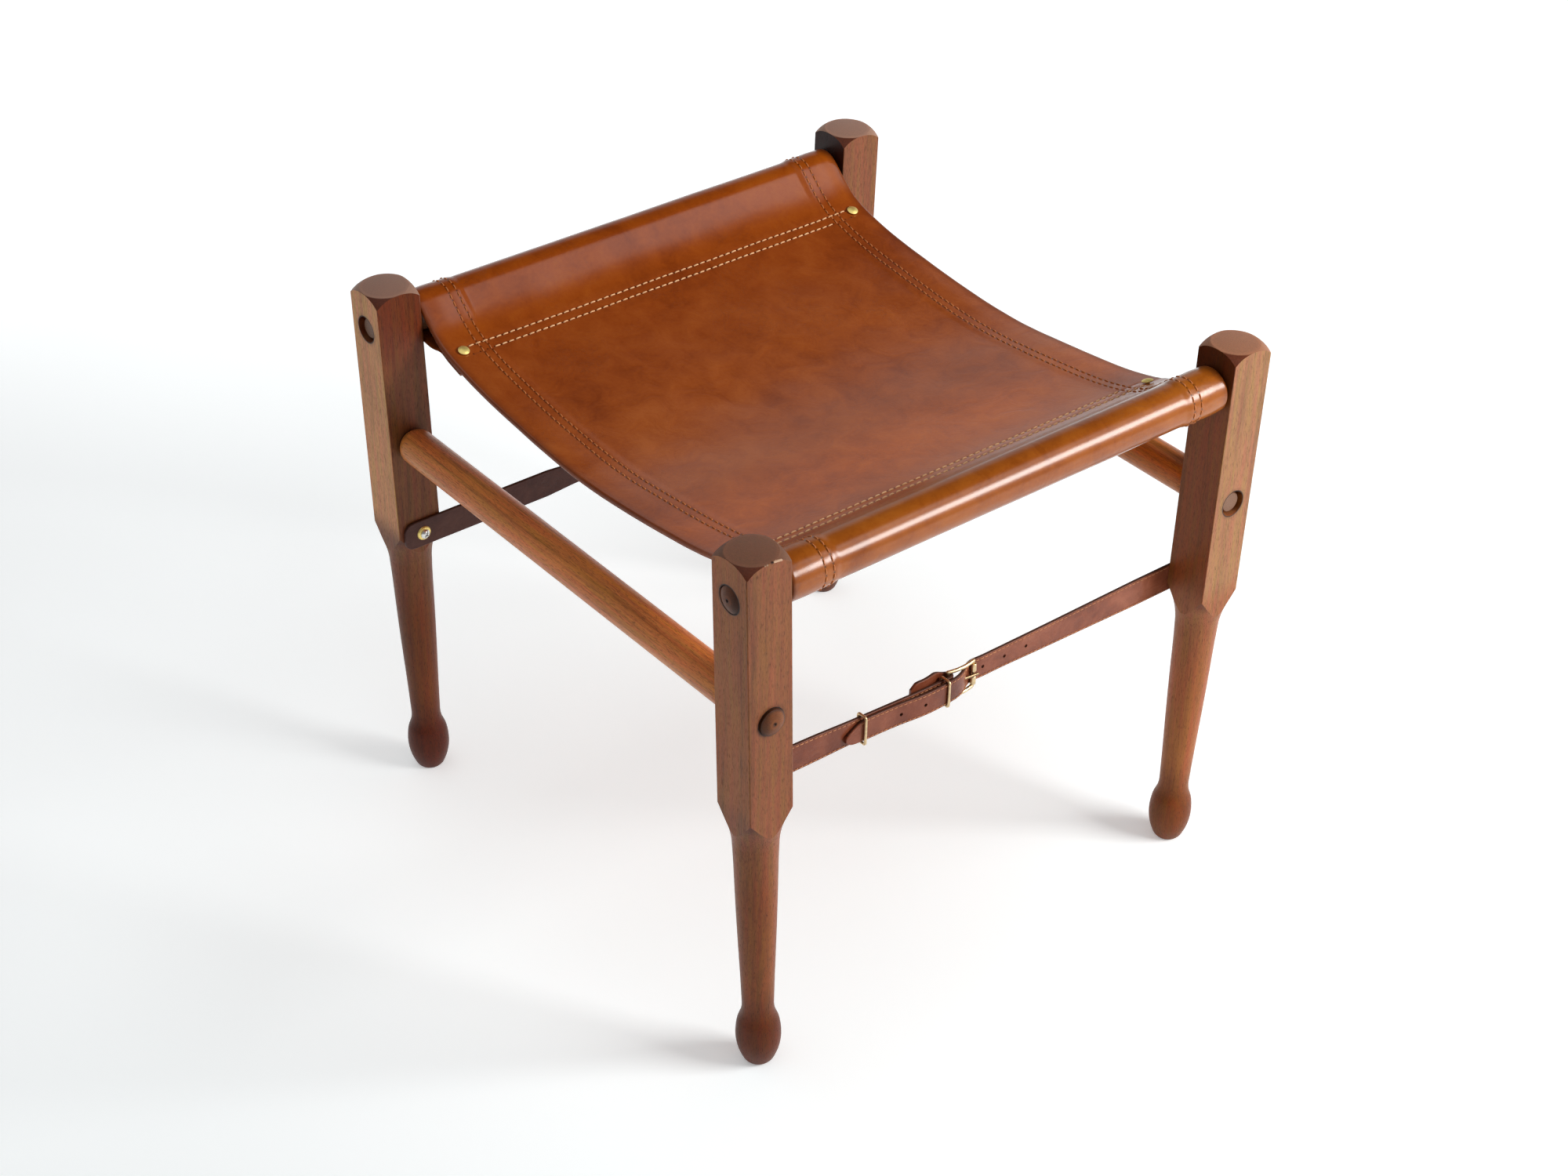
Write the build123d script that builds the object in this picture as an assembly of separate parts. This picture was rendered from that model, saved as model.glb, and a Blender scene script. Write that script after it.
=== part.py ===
from build123d import *
import math
import os

os.makedirs("parts", exist_ok=True)

# ---------------------------------------------------------------------------
# Knock-down safari stool. Millimetres, +Z up, +X along the seat rails (to the
# right), +Y to the back. Origin on the floor, midway between the four legs.
# ---------------------------------------------------------------------------

# posts (legs)
POST = 38.0                # square section of the upper leg
POST_EDGE = 0.9            # softened arris
LEG_TOP = 460.0            # crown of the leg
DISC_Z, DISC_R = 459.0, 18.6   # edge of the nearly flat top disc
ARRIS_Z = 451.5            # top of the square corners, reference height of the leg axes
SQUARE_BOTTOM = 245.0      # bottom of the square corners
W_TOP = 451.8              # leg axis to leg axis along the rails, at ARRIS_Z
D_LEG = 447.2              # leg axis to leg axis along the stretchers
LEAN = 10.86 / 400.0       # each side frame toes in by this slope towards the floor
LEAN_DEG = math.degrees(math.atan(LEAN))

# round members
DOWEL_R = 14.4             # rails and stretchers
TENON_R = 10.5
TENON_CLEAR = 0.08         # radial, so that the frame knocks down
RAIL_Z = 427.5
STRETCHER_Z = 328.8
BUTTON_PROUD = 4.5         # domed stretcher ends stand out of the legs
PEG_PROUD = 0.6            # domed rail ends stand nearly flush,
PEG_PROUD_FRONT = 2.0      # but the front rail's left one a little prouder

# leather sling
T_MAIN = 2.6               # main sheet
T_HEM = 1.6                # skived side hem, folded under
LOOP_IN = 14.5             # inside radius of the loops round the rails
HEM_W = 38.0               # width of the side hem
HEM_RISE = 0.8             # the folded sides stand a little above the middle
EDGE_RAIL, EDGE_MID = 203.2, 205.0   # half width at the rails and in the sag
FLAP_END = 158.0           # the loop's flap ends here, under the sheet
POCKET_TIP, POCKET_TIP_Z = 186.5, 414.4
RIVET_X, RIVET_Y = 191.0, 172.5

# straps
T_STRAP = 2.6
STRAP_W = 24.0             # at the legs
STRAP_W_BUCKLE = 19.5      # where it passes the buckle
FRONT_STRAP_Z = 248.5
REAR_STRAP_Z = 244.5
STRAP_END = 235.5
SCREW_X = 218.5
HEEL_X, TOE_X = -26.5, -1.5
BUCKLE_Y = -205.2
BAR_R = 1.5
KEEPER_R = 1.1
HOLE_PITCH = 21.6
PRONG_HOLE_X = -11.6


def leg_axis_x(z):
    """distance of a leg's axis from the middle plane, at height z"""
    return W_TOP / 2 - LEAN * (ARRIS_Z - z)


LEG_Y = D_LEG / 2
INNER_Y = LEG_Y - POST / 2         # inner faces of the legs, where the straps lie
OUTER_Y = LEG_Y + POST / 2
INNER_X = leg_axis_x(RAIL_Z) - POST / 2
OUTER_X = leg_axis_x(RAIL_Z) + POST / 2


def save(shape, name, color=None):
    if isinstance(shape, (list, tuple)):
        shape = Compound(children=list(shape))
    export_step(shape, os.path.join("parts", name + ".step"))
    print(name, round(shape.volume, 1), [round(v, 2) for v in (*shape.bounding_box().min, *shape.bounding_box().max)])
    return shape


def cap_mid(r0, z0, z1):
    """middle point of a spherical cap's meridian, from (r0, z0) to the pole at z1"""
    h = z1 - z0
    rad = (r0 * r0 + h * h) / (2 * h)
    return (r0 / 2, z1 - rad + math.sqrt(rad * rad - r0 * r0 / 4))


def cyl_between(a, b, r):
    a, b = Vector(*a), Vector(*b)
    d = b - a
    pl = Plane(origin=a, z_dir=d.normalized())
    return extrude(pl * Circle(r), d.length)


# ---------------------------------------------------------------------------
# legs: a turned profile crossed with the square of the post, so that the dome
# leaves arches on the four faces and the cove below ends in four points
# ---------------------------------------------------------------------------
def leg_blank():
    turned = [(8.2, -1.5), (9.9, 0.1), (11.3, 1.7), (13.0, 5.2), (14.9, 10.5), (16.4, 17.0), (17.1, 24.5), (16.7, 32.0),
              (15.3, 39.5), (13.1, 45.6), (12.05, 51.5), (12.0, 58.0), (12.45, 74.0), (13.4, 100.0), (14.5, 130.0),
              (15.6, 168.0), (16.4, 199.0), (17.0, 213.0)]
    with BuildPart() as low:
        with BuildSketch(Plane.XZ):
            with BuildLine():
                Line((0, -1.5), turned[0])
                Spline(*turned[:12])
                Spline(*turned[11:])
                Line(turned[-1], (0, 213.0))
                Line((0, 213.0), (0, -1.5))
            make_face()
        revolve(axis=Axis.Z)
    with BuildPart() as high:
        with BuildSketch(Plane.XZ):
            with BuildLine():
                Line((0, 213.0), (17.0, 213.0))
                ThreePointArc((17.0, 213.0), (20.6, 231.0), (28.5, SQUARE_BOTTOM + 2.6))
                Line((28.5, SQUARE_BOTTOM + 2.6), (28.5, 448.9))
                ThreePointArc((28.5, 448.9), (24.6, 454.9), (DISC_R, DISC_Z))
                ThreePointArc((DISC_R, DISC_Z), cap_mid(DISC_R, DISC_Z, LEG_TOP), (0, LEG_TOP))
                Line((0, LEG_TOP), (0, 213.0))
            make_face()
        revolve(axis=Axis.Z)
    post = extrude(Plane.XY.offset(190) * RectangleRounded(POST, POST, POST_EDGE), 300)
    return low.part + (high.part & post)


BLANK = leg_blank()


def make_leg(sx, sy, strap_z):
    """sx, sy: side of the stool"""
    leg = Pos(0, 0, -ARRIS_Z) * BLANK
    leg = Rot(0, sx * LEAN_DEG, 0) * leg
    leg = Pos(sx * W_TOP / 2, sy * LEG_Y, ARRIS_Z) * leg
    leg = leg - Pos(sx * 220, sy * LEG_Y, -50) * Box(120, 120, 100)
    # through holes for the rail's and the stretcher's tenons
    hole_r = TENON_R + TENON_CLEAR
    leg = leg - Pos(sx * leg_axis_x(RAIL_Z), sy * LEG_Y, RAIL_Z) * Rot(0, 90, 0) * Cylinder(hole_r, 80)
    leg = leg - Pos(sx * leg_axis_x(STRETCHER_Z), sy * LEG_Y, STRETCHER_Z) * Rot(90, 0, 0) * Cylinder(hole_r, 80)
    # pilot hole for the strap's screw, from the inner face
    pilot = cyl_between((sx * SCREW_X, sy * (INNER_Y - 2), strap_z), (sx * SCREW_X, sy * (INNER_Y + 18.5), strap_z), 2.05)
    leg = leg - pilot
    return leg


legs = {
    "leg_front_left": make_leg(-1, -1, FRONT_STRAP_Z),
    "leg_front_right": make_leg(1, -1, FRONT_STRAP_Z),
    "leg_rear_left": make_leg(-1, 1, REAR_STRAP_Z),
    "leg_rear_right": make_leg(1, 1, REAR_STRAP_Z),
}
for k, v in legs.items():
    save(v, k)


# ---------------------------------------------------------------------------
# rails and stretchers: dowels with rounded shoulders and through tenons
# ---------------------------------------------------------------------------
def end_profile(kind, shoulder, tip):
    """profile points from the axis at the tip to the full dowel, for the +X end"""
    pts = []
    if kind == "dome":
        edge = tip - 2.6
        pts.append(("line", (tip - 1.5, 0.0), (tip - 0.05, 1.25)))
        mid = (tip - 0.72, TENON_R * 0.58)
        pts.append(("arc", (tip - 0.05, 1.25), mid, (edge, TENON_R)))
        pts.append(("line", (edge, TENON_R), (shoulder, TENON_R)))
    else:                       # flat end, tapered, below the leg's face
        pts.append(("line", (tip, 0.0), (tip, 7.6)))
        pts.append(("line", (tip, 7.6), (tip - 0.8, 8.3)))
        pts.append(("line", (tip - 0.8, 8.3), (tip - 8.0, TENON_R)))
        pts.append(("line", (tip - 8.0, TENON_R), (shoulder, TENON_R)))
    pts.append(("arc", (shoulder, TENON_R), (shoulder - 2.6, 12.75), (shoulder - 9.0, DOWEL_R)))
    return pts


def dowel(shoulder, left_kind, left_tip, right_kind, right_tip):
    right = end_profile(right_kind, shoulder, right_tip)
    left = end_profile(left_kind, shoulder, left_tip)
    with BuildPart() as p:
        with BuildSketch(Plane.XY) as s:
            with BuildLine() as l:
                for sign, prof in ((1, right), (-1, left)):
                    for e in prof:
                        q = [(sign * a, b) for a, b in e[1:]]
                        if e[0] == "line":
                            Line(*q)
                        else:
                            ThreePointArc(*q)
                Line((shoulder - 9.0, DOWEL_R), (-(shoulder - 9.0), DOWEL_R))
                Line((-left[0][1][0], 0), (right[0][1][0], 0))
            make_face()
        revolve(axis=Axis.X)
    return p.part


rail_tip = OUTER_X + PEG_PROUD
rail_front = Pos(0, -LEG_Y, RAIL_Z) * dowel(INNER_X - 1.3, "dome", OUTER_X + PEG_PROUD_FRONT, "dome", rail_tip)
rail_rear = Pos(0, LEG_Y, RAIL_Z) * dowel(INNER_X - 1.3, "flat", OUTER_X - 3.2, "dome", rail_tip)
save(rail_front, "seat_rail_front")
save(rail_rear, "seat_rail_rear")

btn_tip = OUTER_Y + BUTTON_PROUD
sx_ = leg_axis_x(STRETCHER_Z)
stretcher = dowel(INNER_Y - 0.3, "dome", btn_tip, "dome", btn_tip)
stretcher_left = Pos(-sx_, 0, STRETCHER_Z) * Rot(0, 0, 90) * stretcher
# the right one's front end stops inside the leg
stretcher_r = dowel(INNER_Y - 0.3, "flat", OUTER_Y - 2.6, "dome", btn_tip)
stretcher_right = Pos(sx_, 0, STRETCHER_Z) * Rot(0, 0, 90) * stretcher_r
save(stretcher_left, "stretcher_left")
save(stretcher_right, "stretcher_right")


# ---------------------------------------------------------------------------
# leather sling: one sheet, looped round both rails and sewn to itself; the
# side edges are folded under, so the sides are thicker than the middle
# ---------------------------------------------------------------------------
TANGENT = math.radians(42.0)
RAIL_C = (LEG_Y, RAIL_Z)
SAG = [(0, 391.5), (26, 392.2), (50, 394.0), (90, 398.1), (125, 402.7), (150, 407.2), (165, 410.9)]


def interp(pts, y):
    for (a, za), (b, zb) in zip(pts, pts[1:]):
        if a <= y <= b:
            return za + (zb - za) * (y - a) / (b - a)
    return pts[-1][1]


def half_section(loop_out, near, t, rise=0.0):
    """the half y > 0. near: top points between the seam and the rail. t: sheet thickness"""
    sag = [(y, z + rise) for y, z in SAG]
    a1 = (RAIL_C[0] - loop_out * math.sin(TANGENT), RAIL_C[1] + loop_out * math.cos(TANGENT))
    top = sag + near + [a1]
    tip = (POCKET_TIP, POCKET_TIP_Z)
    d = math.dist(tip, RAIL_C)
    base = math.atan2(RAIL_C[1] - tip[1], RAIL_C[0] - tip[0])
    lo_dir = base - math.asin(LOOP_IN / d)
    up_dir = base + math.asin(LOOP_IN / d)
    up_pt = (RAIL_C[0] - LOOP_IN * math.sin(up_dir), RAIL_C[1] + LOOP_IN * math.cos(up_dir))
    lo_pt = (RAIL_C[0] + LOOP_IN * math.sin(lo_dir), RAIL_C[1] - LOOP_IN * math.cos(lo_dir))
    a2 = (RAIL_C[0] + loop_out * math.sin(lo_dir), RAIL_C[1] - loop_out * math.cos(lo_dir))
    # lower face of the flap
    flap_t = T_MAIN
    low = []
    for y in (180.0, 170.0, FLAP_END):
        slope = (interp(top, y + 4) - interp(top, y - 4)) / 8
        low.append((y, interp(top, y) - (t + flap_t) * math.sqrt(1 + slope * slope)))
    under = []
    for y, z in [(FLAP_END, None), (146.0, None), (125.0, None), (90.0, None), (50.0, None), (26.0, None), (0.0, None)]:
        slope = (interp(top, y + 6) - interp(top, abs(y - 6))) / 12 if y > 6 else 0.0
        under.append((y, interp(top, y) - t * math.sqrt(1 + slope * slope)))
    with BuildSketch(Plane.YZ) as s:
        with BuildLine() as l:
            Spline(*top, tangents=[(1, 0), (math.cos(TANGENT), math.sin(TANGENT))])
            ThreePointArc(a1, (RAIL_C[0] + loop_out * math.cos(math.radians(-15)), RAIL_C[1] + loop_out * math.sin(math.radians(-15))), a2)
            Spline(a2, (196.0, a2[1] - (a2[0] - 196.0) * math.tan(lo_dir) - 0.5), *low)
            Line(low[-1], under[0])
            Spline(*under)
            Line(under[-1], top[0])
        make_face()
        with BuildSketch(Plane.YZ, mode=Mode.PRIVATE) as c:
            with Locations(RAIL_C):
                Circle(LOOP_IN)
        with BuildSketch(Plane.YZ, mode=Mode.PRIVATE) as w:
            with BuildLine():
                Polyline(tip, up_pt, RAIL_C, lo_pt, tip)
            make_face()
    return s.sketch - c.sketch - w.sketch


NEAR_MID = [(176, 414.3), (184, 417.8), (191, 422.2), (198, 427.5)]
NEAR_SIDE = [(176, 415.3), (184, 419.4), (191, 424.3), (198, 430.1)]
mid = half_section(LOOP_IN + T_MAIN, NEAR_MID, T_MAIN)
side = half_section(LOOP_IN + T_MAIN + T_HEM, NEAR_SIDE, T_MAIN + T_HEM, HEM_RISE)
xh = EDGE_MID - HEM_W - 1.0
half_mid = Pos(-xh, 0, 0) * extrude(mid, 2 * xh, dir=(1, 0, 0))
half_l = Pos(-EDGE_MID, 0, 0) * extrude(side, EDGE_MID - xh, dir=(1, 0, 0))
half_r = Pos(xh, 0, 0) * extrude(side, EDGE_MID - xh, dir=(1, 0, 0))
half = half_mid + half_l + half_r
sling = half + mirror(half, about=Plane.XZ)
for s in (1, -1):
    with BuildPart() as cutter:
        with BuildSketch(Plane.XY.offset(350)) as sk:
            with BuildLine():
                Line((s * 230, -270), (s * EDGE_RAIL, -270))
                Line((s * EDGE_RAIL, -270), (s * EDGE_RAIL, -192))
                Spline((s * EDGE_RAIL, -192), (s * 204.4, -110), (s * EDGE_MID, 0), (s * 204.4, 110), (s * EDGE_RAIL, 192))
                Line((s * EDGE_RAIL, 192), (s * EDGE_RAIL, 270))
                Line((s * EDGE_RAIL, 270), (s * 230, 270))
                Line((s * 230, 270), (s * 230, -270))
            make_face()
        extrude(amount=150)
    sling = sling - cutter.part

# rivets through the seam at each corner
side_top = [(y, z + HEM_RISE) for y, z in SAG] + NEAR_SIDE
rv_top = interp(side_top, RIVET_Y) + 0.12
rv_slope = math.atan((interp(side_top, RIVET_Y + 4) - interp(side_top, RIVET_Y - 4)) / 8)
rv_stack = 2 * T_MAIN + T_HEM
with BuildPart() as rv:
    with BuildSketch(Plane.XZ) as s:
        with BuildLine():
            Line((0, 1.9), (0, -rv_stack - 1.9))
            Line((0, -rv_stack - 1.9), (1.2, -rv_stack - 1.9))
            Line((1.2, -rv_stack - 1.9), (1.6, -rv_stack - 1.5))
            Line((1.6, -rv_stack - 1.5), (1.6, 0.12))
            Line((1.6, 0.12), (4.5, 0.12))
            Line((4.5, 0.12), (4.5, 0.62))
            ThreePointArc((4.5, 0.62), cap_mid(4.5, 0.62, 1.9), (0, 1.9))
        make_face()
    revolve(axis=Axis.Z)
with BuildPart() as burr:
    with BuildSketch(Plane.XZ) as s:
        with BuildLine():
            Polyline((1.65, -rv_stack - 0.5), (4.4, -rv_stack - 0.5), (4.4, -rv_stack - 1.0), (2.2, -rv_stack - 1.5), (1.65, -rv_stack - 1.5), (1.65, -rv_stack - 0.5))
        make_face()
    revolve(axis=Axis.Z)
rivets, burrs = [], []
for ix in (-1, 1):
    for iy in (-1, 1):
        loc = Pos(ix * RIVET_X, iy * RIVET_Y, rv_top) * Rot(iy * math.degrees(rv_slope), 0, 0)
        rivets.append(loc * rv.part)
        burrs.append(loc * burr.part)
        sling = sling - loc * Cylinder(1.66, 40)
save(sling, "sling")
save(rivets, "sling_rivets")
save(burrs, "sling_rivet_burrs")


# ---------------------------------------------------------------------------
# straps: bands of leather that follow a line in plan, cut to an outline
# ---------------------------------------------------------------------------
def band(points, z0, z1, half=T_STRAP / 2):
    """a band of constant thickness in plan: a straight run from the first point to
    the second, then a smooth line through the rest"""
    sgn = 1.0 if points[1][0] > points[0][0] else -1.0
    (xa, ya), (xb, yb) = points[-2:]
    n_ = math.hypot(xb - xa, yb - ya)
    e = Edge.make_spline([Vector(x, y, 0) for x, y in points[1:]],
                         tangents=[Vector(sgn, 0, 0), Vector((xb - xa) / n_, (yb - ya) / n_, 0)])
    us, last, count = [0.0], e % 0.0, 0
    steps = int(e.length / 0.4)
    for i in range(1, steps):
        u = i / steps
        t = e % u
        turn = abs(math.degrees(math.atan2(last.X * t.Y - last.Y * t.X, last.X * t.X + last.Y * t.Y)))
        count += 1
        if turn > 9.0 or count >= 20:
            us.append(u)
            last, count = t, 0
    us.append(1.0)
    left, right = [], []
    for u in us:
        q, t = e @ u, e % u
        left.append((q.X - t.Y * half, q.Y + t.X * half))
        right.append((q.X + t.Y * half, q.Y - t.X * half))
    ta, tb = e % 0.0, e % 1.0
    with BuildPart() as p:
        with BuildSketch(Plane.XY.offset(z0)) as s:
            with BuildLine():
                a0, b0 = (points[0][0], left[0][1]), (points[0][0], right[0][1])
                Line(a0, left[0])
                Spline(*left, tangents=[(ta.X, ta.Y), (tb.X, tb.Y)])
                Line(left[-1], right[-1])
                Spline(*right, tangents=[(ta.X, ta.Y), (tb.X, tb.Y)])
                Line(right[0], b0)
                Line(b0, a0)
            make_face()
        extrude(amount=z1 - z0)
    return p.part


def outline_solid(points, zc):
    """closed outline in XZ about the height zc, as a prism through Y"""
    with BuildPart() as p:
        with BuildSketch(Plane.XZ.offset(150)) as s:      # the plane's normal is -Y
            with BuildLine():
                Polyline(*[(x, zc + z) for x, z in points], close=True)
            make_face()
        extrude(amount=100)
    return p.part


def leg_end(s, w):
    """clipped round end of a strap, side s, half width w"""
    e = STRAP_END
    return [(s * (e - 7.5), w), (s * (e - 4.0), w - 1.1), (s * (e - 1.3), w - 3.6), (s * e, w - 7.0),
            (s * e, -w + 7.0), (s * (e - 1.3), -w + 3.6), (s * (e - 4.0), -w + 1.1), (s * (e - 7.5), -w)]


HW, HB = STRAP_W / 2, STRAP_W_BUCKLE / 2
Y0 = -(INNER_Y - T_STRAP / 2 - 0.03)   # centre of a strap that lies on the leg's inner face


def front_buckle_strap(zc):
    """leaf from the left leg to the heel bar, round it, and back as the tab"""
    r = 3.05
    arc = [(HEEL_X + r * math.cos(math.radians(a)), BUCKLE_Y + r * math.sin(math.radians(a))) for a in (-60, -30, 0, 30, 60)]
    pts = [(-236.5, Y0), (-201, Y0), (-186, Y0 - 0.15), (-170, Y0 - 0.55), (-140, Y0 - 1.5), (-110, Y0 - 2.55), (-76, Y0 - 3.75),
           (-50, Y0 - 4.55), (-35, BUCKLE_Y - r - 0.02), (HEEL_X, BUCKLE_Y - r)] + arc + [(HEEL_X, BUCKLE_Y + r), (-33, BUCKLE_Y + r - 0.25),
           (-41, BUCKLE_Y + 1.2), (-48, BUCKLE_Y + 0.2), (-55, BUCKLE_Y + 0.35), (-62, BUCKLE_Y + 0.9)]
    s = band(pts, zc - 14, zc + 14)
    w2 = HB
    out = [(-62.0, w2 - 4.5), (-57.5, w2)]
    prof = [(-62.5, HB), (-105, 10.4), (-123, 10.7), (-150, 11.7), (-165, HW)]
    # upper edge from the buckle to the leg, leg end, and back along the lower edge
    upper = [(-18, HB)] + [(x, w) for x, w in prof]
    lower = [(x, -w) for x, w in reversed(prof)] + [(-18, -HB)]
    main_outline = outline_solid(upper + leg_end(-1, HW) + lower, zc)
    s = s & main_outline
    # the tab's clipped corners, only on the inner leaf
    for sg in (1, -1):
        clip = Pos(-62.0, BUCKLE_Y + 1.6, zc + sg * HB) * Rot(0, 45, 0) * Box(6.5, 2.6, 6.5)
        s = s - clip
    # slot for the prong's eye, at the fold
    s = s - Pos(HEEL_X + 2.0, BUCKLE_Y, zc) * Box(13.0, 20.0, 4.2)
    s = s - cyl_between((-SCREW_X, -210, zc), (-SCREW_X, -190, zc), 2.3)
    return s


def front_billet(zc, wide_to=165.0, narrow_from=30.0):
    """plain half with the holes: from the right leg, behind the toe bar, up through
    the frame, over the fold and through both keepers to its pointed tip"""
    pts = [(236.5, Y0), (201, Y0), (170, Y0 + 0.05), (120, Y0 + 0.25), (60, Y0 + 0.55), (20, Y0 + 0.85), (6, Y0 + 1.05), (-1.5, -202.15),
           (-6.0, -203.5), (-12.0, -206.9), (-18.0, -209.9), (-26.5, -211.75), (-40, -212.8), (-55, -212.7), (-76, -210.55),
           (-95, -209.3), (-110, -208.75), (-127, -208.35)]
    s = band(pts, zc - 14, zc + 14)
    prof = [(narrow_from, HB), (wide_to, HW)]
    tip = [(-109, HB), (-117.5, HB - 1.4), (-123.0, HB - 4.6), (-126.2, 1.6), (-126.2, -1.6), (-123.0, -HB + 4.6), (-117.5, -HB + 1.4), (-109, -HB)]
    upper = [(x, w) for x, w in prof]
    lower = [(x, -w) for x, w in reversed(prof)]
    poly = tip[:4] + tip[4:] + [(narrow_from, -HB), (wide_to, -HW)] + list(reversed(leg_end(1, HW))) + [(wide_to, HW), (narrow_from, HB)]
    s = s & outline_solid(poly, zc)
    for k in range(-3, 4):
        if k == 0:
            continue
        x = PRONG_HOLE_X + k * HOLE_PITCH
        s = s - cyl_between((x, -216, zc), (x, -198, zc), 1.7)
    s = s - prong_arm(zc, PRONG_ARM_R + 0.3, 3.0)
    s = s - cyl_between((SCREW_X, -210, zc), (SCREW_X, -190, zc), 2.3)
    return s


PRONG_ARM_R = 1.1
PRONG_TIP = (0.9, BUCKLE_Y - (BAR_R + PRONG_ARM_R + 0.1) * 27.4 / 25.0)


def prong_arm(zc, r, extra=0.0):
    dx, dy = PRONG_TIP[0] - HEEL_X, PRONG_TIP[1] - BUCKLE_Y
    k = 1 + extra / math.hypot(dx, dy)
    return cyl_between((HEEL_X + 2.0, BUCKLE_Y + dy * 2.0 / dx, zc), (HEEL_X + dx * k, BUCKLE_Y + dy * k, zc), r)


def front_prong(zc):
    eye = Pos(HEEL_X, BUCKLE_Y, zc) * Cylinder(2.85, 3.2)
    tip = Pos(PRONG_TIP[0], PRONG_TIP[1], zc) * Sphere(PRONG_ARM_R)
    p = eye + prong_arm(zc, PRONG_ARM_R) + tip
    p = p - Pos(HEEL_X, BUCKLE_Y, zc) * Cylinder(BAR_R + 0.08, 8)
    return p


def front_buckle_frame(zc):
    zb = HB + 0.25 + BAR_R
    heel = Pos(HEEL_X, BUCKLE_Y, zc) * Cylinder(BAR_R, 2 * zb)
    toe = Pos(TOE_X, BUCKLE_Y, zc) * Cylinder(BAR_R, 2 * zb)
    f = heel + toe
    for s in (1, -1):
        z = zc + s * zb
        path = Edge.make_three_point_arc(Vector(HEEL_X, BUCKLE_Y, z), Vector((HEEL_X + TOE_X) / 2, BUCKLE_Y - 1.8, z), Vector(TOE_X, BUCKLE_Y, z))
        prof = Plane(origin=path @ 0, z_dir=path % 0) * Circle(BAR_R)
        f = f + sweep(prof, path=path)
        f = f + Pos(HEEL_X, BUCKLE_Y, z) * Sphere(BAR_R) + Pos(TOE_X, BUCKLE_Y, z) * Sphere(BAR_R)
    return f


def keeper(x, y_front, y_back, hh, zc, tilt=0.0):
    """wire loop in the YZ plane at x; bar centre lines at y_front, y_back and +-hh"""
    c = 2.0
    ym, hy = (y_front + y_back) / 2, (y_back - y_front) / 2
    pl = Plane(origin=(x, ym, zc), x_dir=(0, 1, 0), z_dir=(1, 0, 0))
    path = (pl * RectangleRounded(2 * hy, 2 * hh, c)).wire()
    start = path.position_at(0)
    tan = path.tangent_at(0)
    prof = Plane(origin=start, z_dir=tan) * Circle(KEEPER_R)
    return sweep(prof, path=path)


KEEPER_FIXED_X = -33.2
KEEPER_SLIDE_X = -110.0

zc = FRONT_STRAP_Z
front = {
    "front_buckle_strap": front_buckle_strap(zc),
    "front_billet_strap": front_billet(zc),
    "front_buckle_frame": front_buckle_frame(zc),
    "front_buckle_prong": front_prong(zc),
    "front_keeper_fixed": keeper(KEEPER_FIXED_X, -213.78 - KEEPER_R - 0.12, -206.95 + KEEPER_R + 0.12, HB + 0.35 + KEEPER_R, zc),
    "front_keeper_sliding": keeper(KEEPER_SLIDE_X, -210.1 - KEEPER_R - 0.5, -204.45 + KEEPER_R + 0.4, 10.9 + KEEPER_R, zc),
}
for k, v in front.items():
    save(v, k)

# the rear strap is the front one turned half round, a little lower, and stays
# broad nearly to its buckle
dz = REAR_STRAP_Z - FRONT_STRAP_Z
turn = Pos(0, 0, dz) * Rot(0, 0, 180)
rear = {
    "rear_buckle_strap": turn * front["front_buckle_strap"],
    "rear_billet_strap": turn * front_billet(zc, 100.0, 72.0),
    "rear_buckle_frame": turn * front["front_buckle_frame"],
    "rear_buckle_prong": turn * front["front_buckle_prong"],
    "rear_keeper_fixed": turn * front["front_keeper_fixed"],
    "rear_keeper_sliding": turn * front["front_keeper_sliding"],
}
for k, v in rear.items():
    save(v, k)


# ---------------------------------------------------------------------------
# screws and cup washers that hold the straps to the legs
# ---------------------------------------------------------------------------
def screw():
    """head towards +Z, underside of the head at z = 0"""
    with BuildPart() as p:
        with BuildSketch(Plane.XZ) as s:
            with BuildLine():
                Line((0, 2.7), (0, -22))
                Line((0, -22), (2.0, -18.5))
                Line((2.0, -18.5), (2.0, 0))
                Line((2.0, 0), (4.0, 0))
                Line((4.0, 0), (4.0, 0.9))
                ThreePointArc((4.0, 0.9), cap_mid(4.0, 0.9, 2.7), (0, 2.7))
            make_face()
        revolve(axis=Axis.Z)
    s = p.part
    for a in (45, 135):
        s = s - Rot(0, 0, a) * Pos(0, 0, 2.0) * Box(4.6, 0.95, 2.4)
    return s


def washer():
    with BuildPart() as p:
        with BuildSketch(Plane.XZ) as s:
            with BuildLine():
                Line((2.25, 0), (6.1, 0))
                ThreePointArc((6.1, 0), (5.5, 1.0), (4.6, 1.5))
                Line((4.6, 1.5), (2.25, 1.5))
                Line((2.25, 1.5), (2.25, 0))
            make_face()
        revolve(axis=Axis.Z)
    return p.part


SC, WA = screw(), washer()
for side_name, sx in (("left", -1), ("right", 1)):
    ss, ww = [], []
    for sy, z in ((-1, FRONT_STRAP_Z), (1, REAR_STRAP_Z)):
        y = sy * (INNER_Y - T_STRAP - 0.06)
        turn_ = Rot(90 if sy > 0 else -90, 0, 0)       # +Z of the screw points to the middle of the stool
        ww.append(Pos(sx * SCREW_X, y, z) * turn_ * WA)
        ss.append(Pos(sx * SCREW_X, y - sy * 1.5, z) * turn_ * SC)
    save(ss, "strap_screws_" + side_name)
    save(ww, "cup_washers_" + side_name)
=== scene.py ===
import bpy
import bmesh
import math
import numpy as np
from mathutils import Matrix, Vector, noise


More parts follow.
